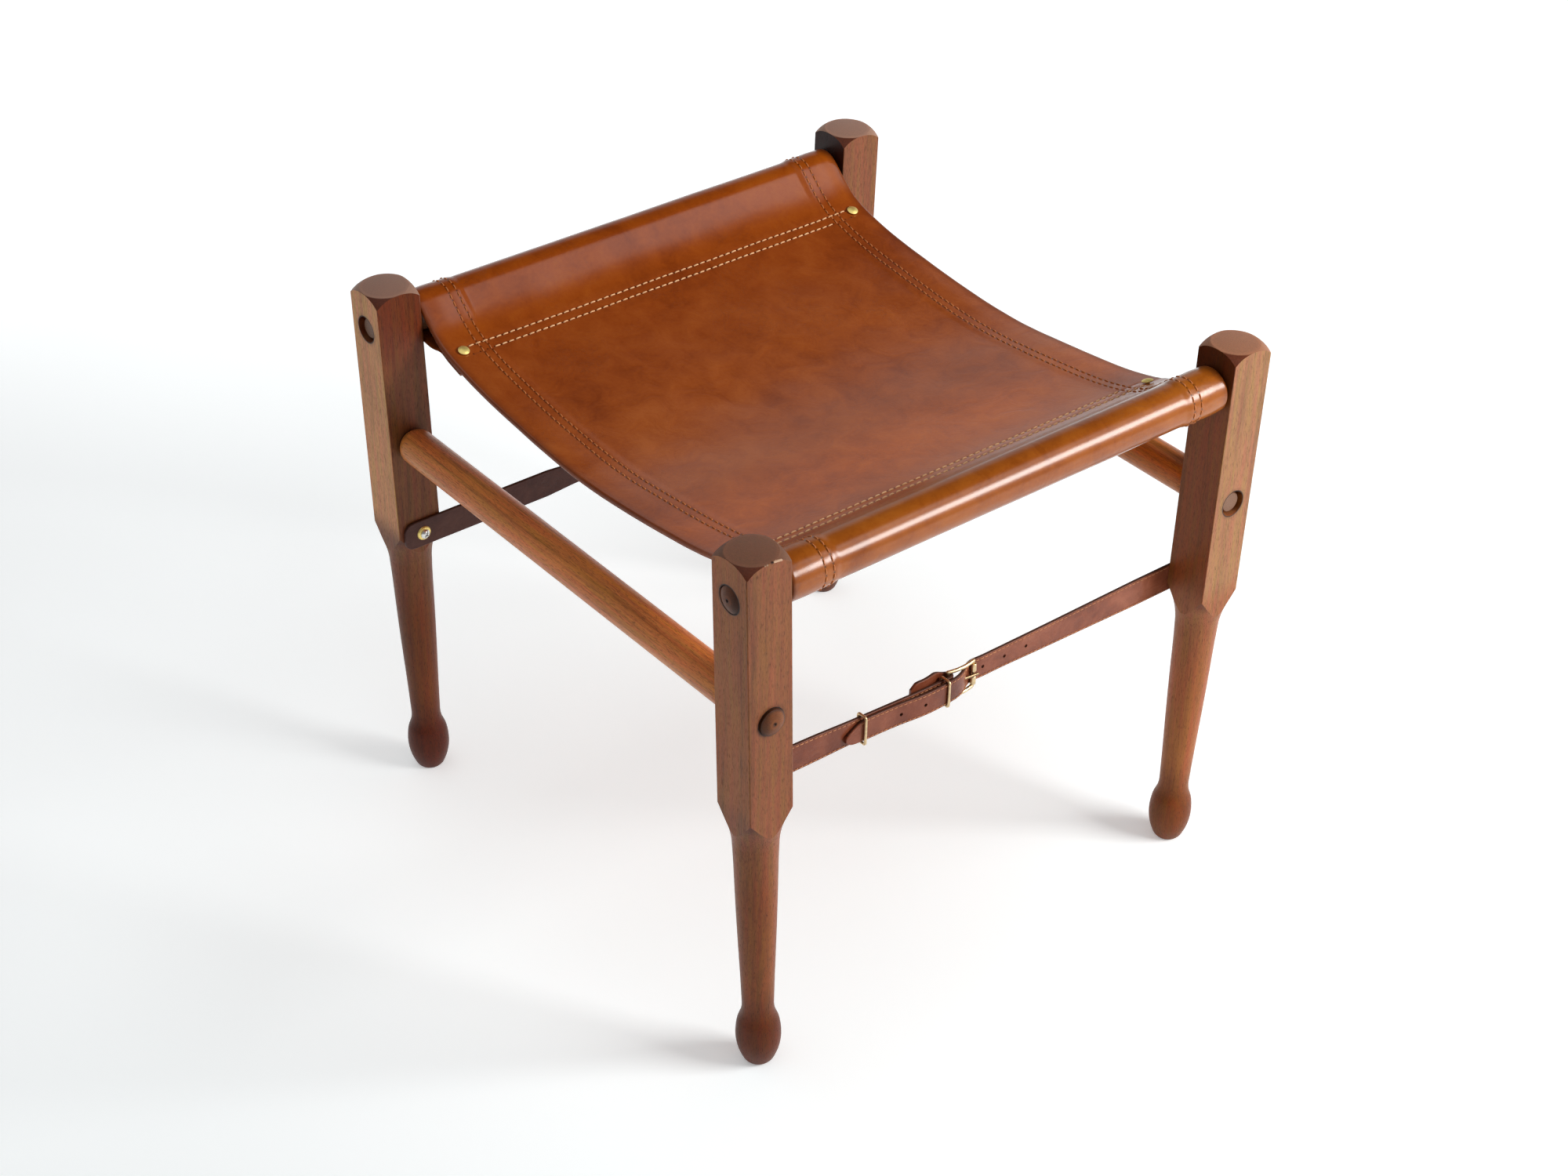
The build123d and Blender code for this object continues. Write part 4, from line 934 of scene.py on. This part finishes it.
set_mats(tonal, thread_material("thread_tonal", (0.44, 0.122, 0.024), (0.60, 0.195, 0.046), 0.5))
for o in (cream, tonal):
    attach(o, "seat")


# ------------------------------------------------------------------ straps
TS, HB, HW = 2.6, 9.75, 12.0
HEEL_X, TOE_X, BUCKLE_Y, END_X = -26.5, -1.5, -205.2, 235.5
FRONT_Z, REAR_Z = 248.5, 244.5
Y0 = -(204.6 - TS / 2 - 0.03)
HOLE0, HOLE_P = -11.6, 21.6


def strap_path(points):
    sgn = 1.0 if points[1][0] > points[0][0] else -1.0
    e = clamped_spline(points[1:], (sgn, 0), None, 0.2)
    first = np.array(points[0], float)
    k = max(2, int(abs(points[1][0] - points[0][0]) / 0.5))
    lead = np.array([first + (e[0] - first) * i / k for i in range(k)])
    lead[:, 1] = e[0][1]
    return np.concatenate([lead, e])


def strap_mesh(name, path, width, zc, flip, zoff=lambda x, s: 0.0):
    """path: dense XY line. width(x, s) -> half width. flip: +1 if the left of the line is the outside"""
    L_ = arclen(path)
    tot = L_[-1]
    dd = np.gradient(path, L_, axis=0)
    ang = np.unwrap(np.arctan2(dd[:, 1], dd[:, 0]))
    # stations where the line turns or the width changes
    ss, last, la, lw = [0.0], 0.0, ang[0], width(path[0][0], 0.0)
    for i in range(1, len(path)):
        w_ = width(path[i][0], L_[i])
        if L_[i] - last > 2.6 or (abs(ang[i] - la) > 0.12 and L_[i] - last > 0.25) or (abs(w_ - lw) > 0.5 and L_[i] - last > 0.2):
            ss.append(L_[i])
            last, la, lw = L_[i], ang[i], w_
    if tot - ss[-1] < 0.2:
        ss.pop()
    ss.append(tot)
    V, F, uv = [], [], []
    h = TS / 2
    c = 0.55
    sec = None
    for s_ in ss:
        x_, y_ = np.interp(s_, L_, path[:, 0]), np.interp(s_, L_, path[:, 1])
        a_ = np.interp(s_, L_, ang)
        nx_, nyy = -math.sin(a_), math.cos(a_)
        w_ = width(x_, s_)
        ins = min(1.0, w_ / 6.0)
        zl = [-w_ + c * 1.4, -w_ + 1.15 * ins + 0.3, -w_ + 1.8 * ins, -w_ + 2.45 * ins, -w_ + 3.4 * ins, -w_ * 0.45, 0.0, w_ * 0.45,
              w_ - 3.4 * ins, w_ - 2.45 * ins, w_ - 1.8 * ins, w_ - 1.15 * ins - 0.3, w_ - c * 1.4]
        gz = [0, 0.02, -0.16, 0.0, 0.06, 0.07, 0.08, 0.07, 0.06, 0.0, -0.16, 0.02, 0]
        ring = [(h + q, z_) for z_, q in zip(zl, gz)]
        ring += [(h - 0.18, w_ - 0.28), (h - c, w_), (0.0, w_ + 0.05), (-h + c, w_), (-h + 0.18, w_ - 0.28)]
        ring += [(-h - q * 0.4, z_) for z_, q in zip(reversed(zl), reversed(gz))]
        ring += [(-h + 0.18, -w_ + 0.28), (-h + c, -w_), (0.0, -w_ - 0.05), (h - c, -w_), (h - 0.18, -w_ + 0.28)]
        sec = len(ring)
        zo_ = zoff(x_, s_)
        for t_, z_ in ring:
            V.append((x_ + nx_ * t_ * flip, y_ + nyy * t_ * flip, zc + z_ + zo_))
            uv.append((s_ * MM, z_ * MM))
    k = len(ss)
    for i in range(k - 1):
        for q in range(sec):
            q2 = (q + 1) % sec
            F.append((i * sec + q, i * sec + q2, (i + 1) * sec + q2, (i + 1) * sec + q))
    for i in (0, k - 1):
        # end faces as strips across the thickness
        o_ = i * sec
        front_idx = list(range(0, 13))
        top_idx = [13, 14, 15, 16, 17]
        back_idx = list(range(18, 31))
        bot_idx = [31, 32, 33, 34, 35]
        for q in range(12):
            F.append((o_ + front_idx[q], o_ + front_idx[q + 1], o_ + back_idx[11 - q], o_ + back_idx[12 - q]))
        F.append(tuple(o_ + q for q in [12] + top_idx + [18]))
        F.append(tuple(o_ + q for q in [30] + bot_idx + [0]))
    ob = new_obj(name, V, F)
    lay_ = ob.data.uv_layers.new(name="lay")
    li2 = np.empty(len(ob.data.loops), dtype=np.int64)
    ob.data.loops.foreach_get("vertex_index", li2)
    lay_.uv.foreach_set("vector", np.array(uv, dtype=np.float32)[li2].ravel())
    bm_ = bmesh.new()
    bm_.from_mesh(ob.data)
    bmesh.ops.recalc_face_normals(bm_, faces=bm_.faces)
    bm_.to_mesh(ob.data)
    bm_.free()
    return ob


def cyl_obj(a, b_, r, seg=24):
    a, b_ = Vector(a), Vector(b_)
    bm_ = bmesh.new()
    mtx = Matrix.Translation((a + b_) / 2 * MM) @ (b_ - a).to_track_quat("Z", "Y").to_matrix().to_4x4()
    bmesh.ops.create_cone(bm_, cap_ends=True, segments=seg, radius1=r * MM, radius2=r * MM, depth=(b_ - a).length * MM, matrix=mtx)
    me = bpy.data.meshes.new("cutter")
    bm_.to_mesh(me)
    bm_.free()
    o = bpy.data.objects.new("cutter", me)
    scene.collection.objects.link(o)
    return o


def box_obj(c_, size):
    bm_ = bmesh.new()
    bmesh.ops.create_cube(bm_, size=1.0, matrix=Matrix.Translation(Vector(c_) * MM) @ Matrix.Diagonal((size[0] * MM, size[1] * MM, size[2] * MM, 1)))
    me = bpy.data.meshes.new("cutter")
    bm_.to_mesh(me)
    bm_.free()
    o = bpy.data.objects.new("cutter", me)
    scene.collection.objects.link(o)
    return o


def cut(ob, cutters):
    for c_ in cutters:
        md = ob.modifiers.new("cut", "BOOLEAN")
        md.operation = "DIFFERENCE"
        md.solver = "EXACT"
        md.object = c_
    dg = bpy.context.evaluated_depsgraph_get()
    me = bpy.data.meshes.new_from_object(ob.evaluated_get(dg))
    ob.modifiers.clear()
    old = ob.data
    ob.data = me
    me.name = ob.name
    bpy.data.meshes.remove(old)
    for c_ in cutters:
        m_ = c_.data
        bpy.data.objects.remove(c_)
        bpy.data.meshes.remove(m_)
    me.polygons.foreach_set("use_smooth", [True] * len(me.polygons))
    me.set_sharp_from_angle(angle=rad(48))


def end_width(x, end, w):
    """clipped round end near |x| = end"""
    d_ = end - abs(x)
    return float(np.interp(d_, [0.0, 0.35, 1.3, 4.0, 7.5], [w - 7.0, w - 5.6, w - 3.6, w - 1.1, w]))


r_ = 3.05
fold = [(HEEL_X + r_ * math.cos(rad(a)), BUCKLE_Y + r_ * math.sin(rad(a))) for a in (-60, -30, 0, 30, 60)]
leaf_pts = [(-END_X, Y0), (-201, Y0), (-186, Y0 - 0.15), (-170, Y0 - 0.55), (-140, Y0 - 1.5), (-110, Y0 - 2.55), (-76, Y0 - 3.75),
            (-50, Y0 - 4.55), (-35, BUCKLE_Y - r_ - 0.02), (HEEL_X, BUCKLE_Y - r_)] + fold + \
           [(HEEL_X, BUCKLE_Y + r_), (-33, BUCKLE_Y + r_ - 0.25), (-41, BUCKLE_Y + 1.2), (-48, BUCKLE_Y + 0.2), (-55, BUCKLE_Y + 0.35), (-62, BUCKLE_Y + 0.9)]
leaf_path = strap_path(leaf_pts)
leaf_L = arclen(leaf_path)
S_FOLD = float(leaf_L[int(np.argmax(leaf_path[:, 0]))])
LEAF_PROF = ([-165, -150, -123, -105, -62.5, -18], [HW, 11.7, 10.7, 10.4, HB, HB])


def leaf_width(x, s):
    if s > S_FOLD + 6:                          # the folded tab, clipped at its end
        return float(np.interp(-x, [57.0, 57.9, 61.7, 62.5], [HB, HB - 0.5, HB - 4.4, HB - 4.9]))
    return min(float(np.interp(x, *LEAF_PROF)), end_width(x, END_X, HW))


def tab_lift(x, s):
    """the folded tab was sewn on a little high"""
    return 6.2 * float(smooth01((s - S_FOLD - 2.5) / 16.0))


def tip_drop(x, s):
    """the tongue's point is cut off centre"""
    return -2.9 * float(smooth01((-x - 107.0) / 19.0))


bil_pts = [(END_X, Y0), (201, Y0), (170, Y0 + 0.05), (120, Y0 + 0.25), (60, Y0 + 0.55), (20, Y0 + 0.85), (6, Y0 + 1.05), (-1.5, -202.15),
           (-6.0, -203.5), (-12.0, -206.9), (-18.0, -209.9), (-26.5, -211.75), (-40, -212.8), (-55, -212.7), (-76, -210.55),
           (-95, -209.3), (-110, -208.75), (-126.2, -208.35)]
bil_path = strap_path(bil_pts)
BIL_L = arclen(bil_path)


def billet_width(lo, hi):
    def f(x, s):
        if x < -105:
            return float(np.interp(-x, [108, 113, 117.5, 120.5, 123.0, 124.9, 126.2], [HB, HB - 1.0, HB - 2.2, HB - 3.4, HB - 4.8, HB - 6.0, HB - 7.6]))
        return min(float(np.interp(x, [lo, hi], [HB, HW])), end_width(x, END_X, HW))
    return f


def strap_material(name, c_dark, c_mid, c_light, rough, coat, darker_side=None):
    mt, g, b, col, nrm = grain_leather(name, c_dark, c_mid, c_light, rough, coat, 1.6)
    s, t, _ = g.split(uv_mm(g))
    if darker_side is not None:
        x_ = g.split(p_mm(g))[0]
        xw = g.m("MULTIPLY", x_, darker_side)
        col = g.mix(g.rng(xw, 14.0, 34.0, 0.0, 1.0, True), col, g.mix(1.0, col, (0.82, 0.74, 0.68), "MULTIPLY"))
        # painted shade: darker just past the tongue's point, where it bends over the bar, and by the keeper, where
        # their shadows fall
        for cx_, wd_, am_ in ((134.0, 13.0, 0.55), (26.0, 15.0, 0.45), (100.0, 10.0, 0.25)):
            shade_spot = g.rng(g.m("ABSOLUTE", g.m("SUBTRACT", xw, cx_)), 0.0, wd_, am_, 0.0, True)
            col = g.mix(shade_spot, col, g.mix(1.0, col, (0.45, 0.34, 0.30), "MULTIPLY"))
    g.put(b.inputs["Base Color"], col)
    return mt


front_leather = strap_material("strap_front", (0.125, 0.028, 0.012), (0.205, 0.054, 0.024), (0.275, 0.086, 0.043), 0.36, 0.45, -1.0)
rear_leather = strap_material("strap_rear", (0.048, 0.016, 0.013), (0.075, 0.027, 0.020), (0.100, 0.040, 0.029), 0.42, 0.2)

mt_edge, g, b = material("strap_edge")
p = p_mm(g)
f = g.noise(p, 1.1, 4.0, 0.7)
g.put(b.inputs["Base Color"], g.ramp(f, [(0.3, (0.040, 0.014, 0.008)), (0.6, (0.075, 0.026, 0.014)), (0.8, (0.13, 0.046, 0.026))]))
b.inputs["Roughness"].default_value = 0.62
b.inputs["Specular IOR Level"].default_value = 0.2
g.put(b.inputs["Normal"], g.bump(f, 0.0002, 0.7))


def paint_edges(ob, band_mat):
    """cut edges of the strap take the dark edge finish"""
    set_mats(ob, band_mat, mt_edge)
    idx = []
    for pl in ob.data.polygons:
        n_ = pl.normal
        idx.append(1 if abs(n_.z) > 0.75 else 0)
    ob.data.polygons.foreach_set("material_index", idx)


thread_strap = thread_material("thread_tan", (0.38, 0.14, 0.052), (0.58, 0.26, 0.105), 0.55)


def strap_stitches(name, path, width, zc, flip, ranges, inset=1.7, pitch=4.2, length=2.6, r=0.33, side=1, zoff=lambda x, s: 0.0):
    L_ = arclen(path)
    dd = np.gradient(path, L_, axis=0)
    ang = np.unwrap(np.arctan2(dd[:, 1], dd[:, 0]))
    V, F = [], []

    def fn(c, off, zs):
        x_, y_ = np.interp(c, L_, path[:, 0]), np.interp(c, L_, path[:, 1])
        a_ = np.interp(c, L_, ang)
        nn = np.array([-math.sin(a_) * flip * side, math.cos(a_) * flip * side, 0.0])
        w_ = width(x_, c)
        z_ = zs * (w_ - inset) + off * 0.3 + zoff(x_, c)
        return np.array([x_, y_, zc + z_]) + nn * (TS / 2 - 0.05), nn

    for (c0, c1, zs) in ranges:
        stitch_row(V, F, lambda c, off, zs=zs: fn(c, off, zs), c0, c1, r=r, proud=0.27, slant=0.1, jit=zs * 2.0, pitch=pitch, length=length)
    ob = new_obj(name, V, F)
    set_mats(ob, thread_strap)
    return ob


def s_at(path, L_, x, after=0.0):
    k = np.where(L_ >= after)[0]
    xs_, ls_ = path[k, 0], L_[k]
    j = int(np.argmin(np.abs(xs_ - x)))
    return float(ls_[j])


def turned(path):
    return np.stack([-path[:, 0], -path[:, 1]], 1)


def make_side(tag, zc, leather, leaf_body, bil_body, rear):
    rot = -1.0 if rear else 1.0
    lp = turned(leaf_path) if rear else leaf_path
    bp = turned(bil_path) if rear else bil_path
    lw = (lambda x, s: leaf_width(-x, s)) if rear else leaf_width
    bw0 = billet_width(72.0, 100.0) if rear else billet_width(30.0, 165.0)
    bw = (lambda x, s: bw0(-x, s)) if rear else bw0
    zl_ = (lambda x, s: tab_lift(-x, s)) if rear else tab_lift
    zb_ = (lambda x, s: tip_drop(-x, s)) if rear else tip_drop
    # on the leaf the outside is to the right of its line, on the billet to the left
    leaf = strap_mesh(tag + "_strap_buckle_half", lp, lw, zc, -1, zl_)
    bil = strap_mesh(tag + "_strap_tongue_half", bp, bw, zc, 1, zb_)
    cut(leaf, [box_obj((rot * (HEEL_X + 2.0), rot * BUCKLE_Y, zc), (13.0, 20.0, 4.2)),
               cyl_obj((-rot * 218.5, -rot * 214, zc), (-rot * 218.5, -rot * 190, zc), 2.3)])
    holes = [cyl_obj((rot * (HOLE0 + k * HOLE_P), -rot * 218, zc), (rot * (HOLE0 + k * HOLE_P), -rot * 196, zc), 1.45) for k in range(-3, 4) if k != 0]
    dx_, dy_ = 0.9 - HEEL_X, -2.7 * 27.4 / 25.0
    k_ = 1 + 3.0 / math.hypot(dx_, dy_)
    holes.append(cyl_obj((rot * (HEEL_X + 2.0), rot * (BUCKLE_Y + dy_ * 2.0 / dx_), zc), (rot * (HEEL_X + dx_ * k_), rot * (BUCKLE_Y + dy_ * k_), zc), 1.4))
    holes.append(cyl_obj((rot * 218.5, -rot * 214, zc), (rot * 218.5, -rot * 190, zc), 2.3))
    cut(bil, holes)
    paint_edges(leaf, leather)
    paint_edges(bil, leather)
    st1 = strap_stitches(tag + "_stitches_buckle_half", lp, lw, zc, -1,
                         [(s_at(lp, leaf_L, -rot * 200), S_FOLD - 12, 1), (s_at(lp, leaf_L, -rot * 200), S_FOLD - 12, -1),
                          (S_FOLD + 12, leaf_L[-1] - 5, 1), (S_FOLD + 12, leaf_L[-1] - 5, -1)], zoff=zl_)
    st2 = strap_stitches(tag + "_stitches_tongue_half", bp, bw, zc, 1,
                         [(s_at(bp, BIL_L, rot * 200), BIL_L[-1] - 13, 1), (s_at(bp, BIL_L, rot * 200), BIL_L[-1] - 13, -1)], zoff=zb_)
    for o, bd in ((leaf, leaf_body), (st1, leaf_body), (bil, bil_body), (st2, bil_body)):
        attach(o, bd)
    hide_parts(tag + "_buckle_strap")
    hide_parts(tag + "_billet_strap")
    return leaf, bil


def lug(verts, faces, cx, cy, z0, z1, rx, ry, seg=28):
    """a short sleeve on the toe bar, slightly flattened, with rounded ends"""
    prof_ = [(z0, 0.70), (z0, 0.86), (z0 + 0.25, 0.97), (z0 + 0.7, 1.0), (z1 - 0.7, 1.0), (z1 - 0.25, 0.97), (z1, 0.86), (z1, 0.70)]
    base_ = len(verts)
    for z_, k_ in prof_:
        for q in range(seg):
            a = 2 * math.pi * q / seg
            e = 2.6
            ca, sa = math.cos(a), math.sin(a)
            verts.append((cx + rx * k_ * math.copysign(abs(ca) ** (2 / e), ca), cy + ry * k_ * math.copysign(abs(sa) ** (2 / e), sa), z_))
    m_ = len(prof_)
    for i_ in range(m_):
        i2 = (i_ + 1) % m_
        for q in range(seg):
            q2 = (q + 1) % seg
            faces.append((base_ + i_ * seg + q, base_ + i_ * seg + q2, base_ + i2 * seg + q2, base_ + i2 * seg + q))


def toe_sleeves(tag, zc, sgn):
    V, F = [], []
    for s2 in (1, -1):
        za, zb = sorted((zc + s2 * 2.2, zc + s2 * 9.4))
        lug(V, F, sgn * TOE_X, sgn * (BUCKLE_Y - 0.62), za, zb, 2.15, 2.15)
    ob = new_obj(tag + "_toe_sleeves", V, F)
    bm_ = bmesh.new()
    bm_.from_mesh(ob.data)
    bmesh.ops.recalc_face_normals(bm_, faces=bm_.faces)
    bm_.to_mesh(ob.data)
    bm_.free()
    set_mats(ob, brass_pale)
    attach(ob, tag + "_buckle")


toe_sleeves("front", FRONT_Z, 1.0)
toe_sleeves("rear", REAR_Z, -1.0)
make_side("front", FRONT_Z, front_leather, "left_frame", "right_frame", False)
make_side("rear", REAR_Z, rear_leather, "right_frame", "left_frame", True)
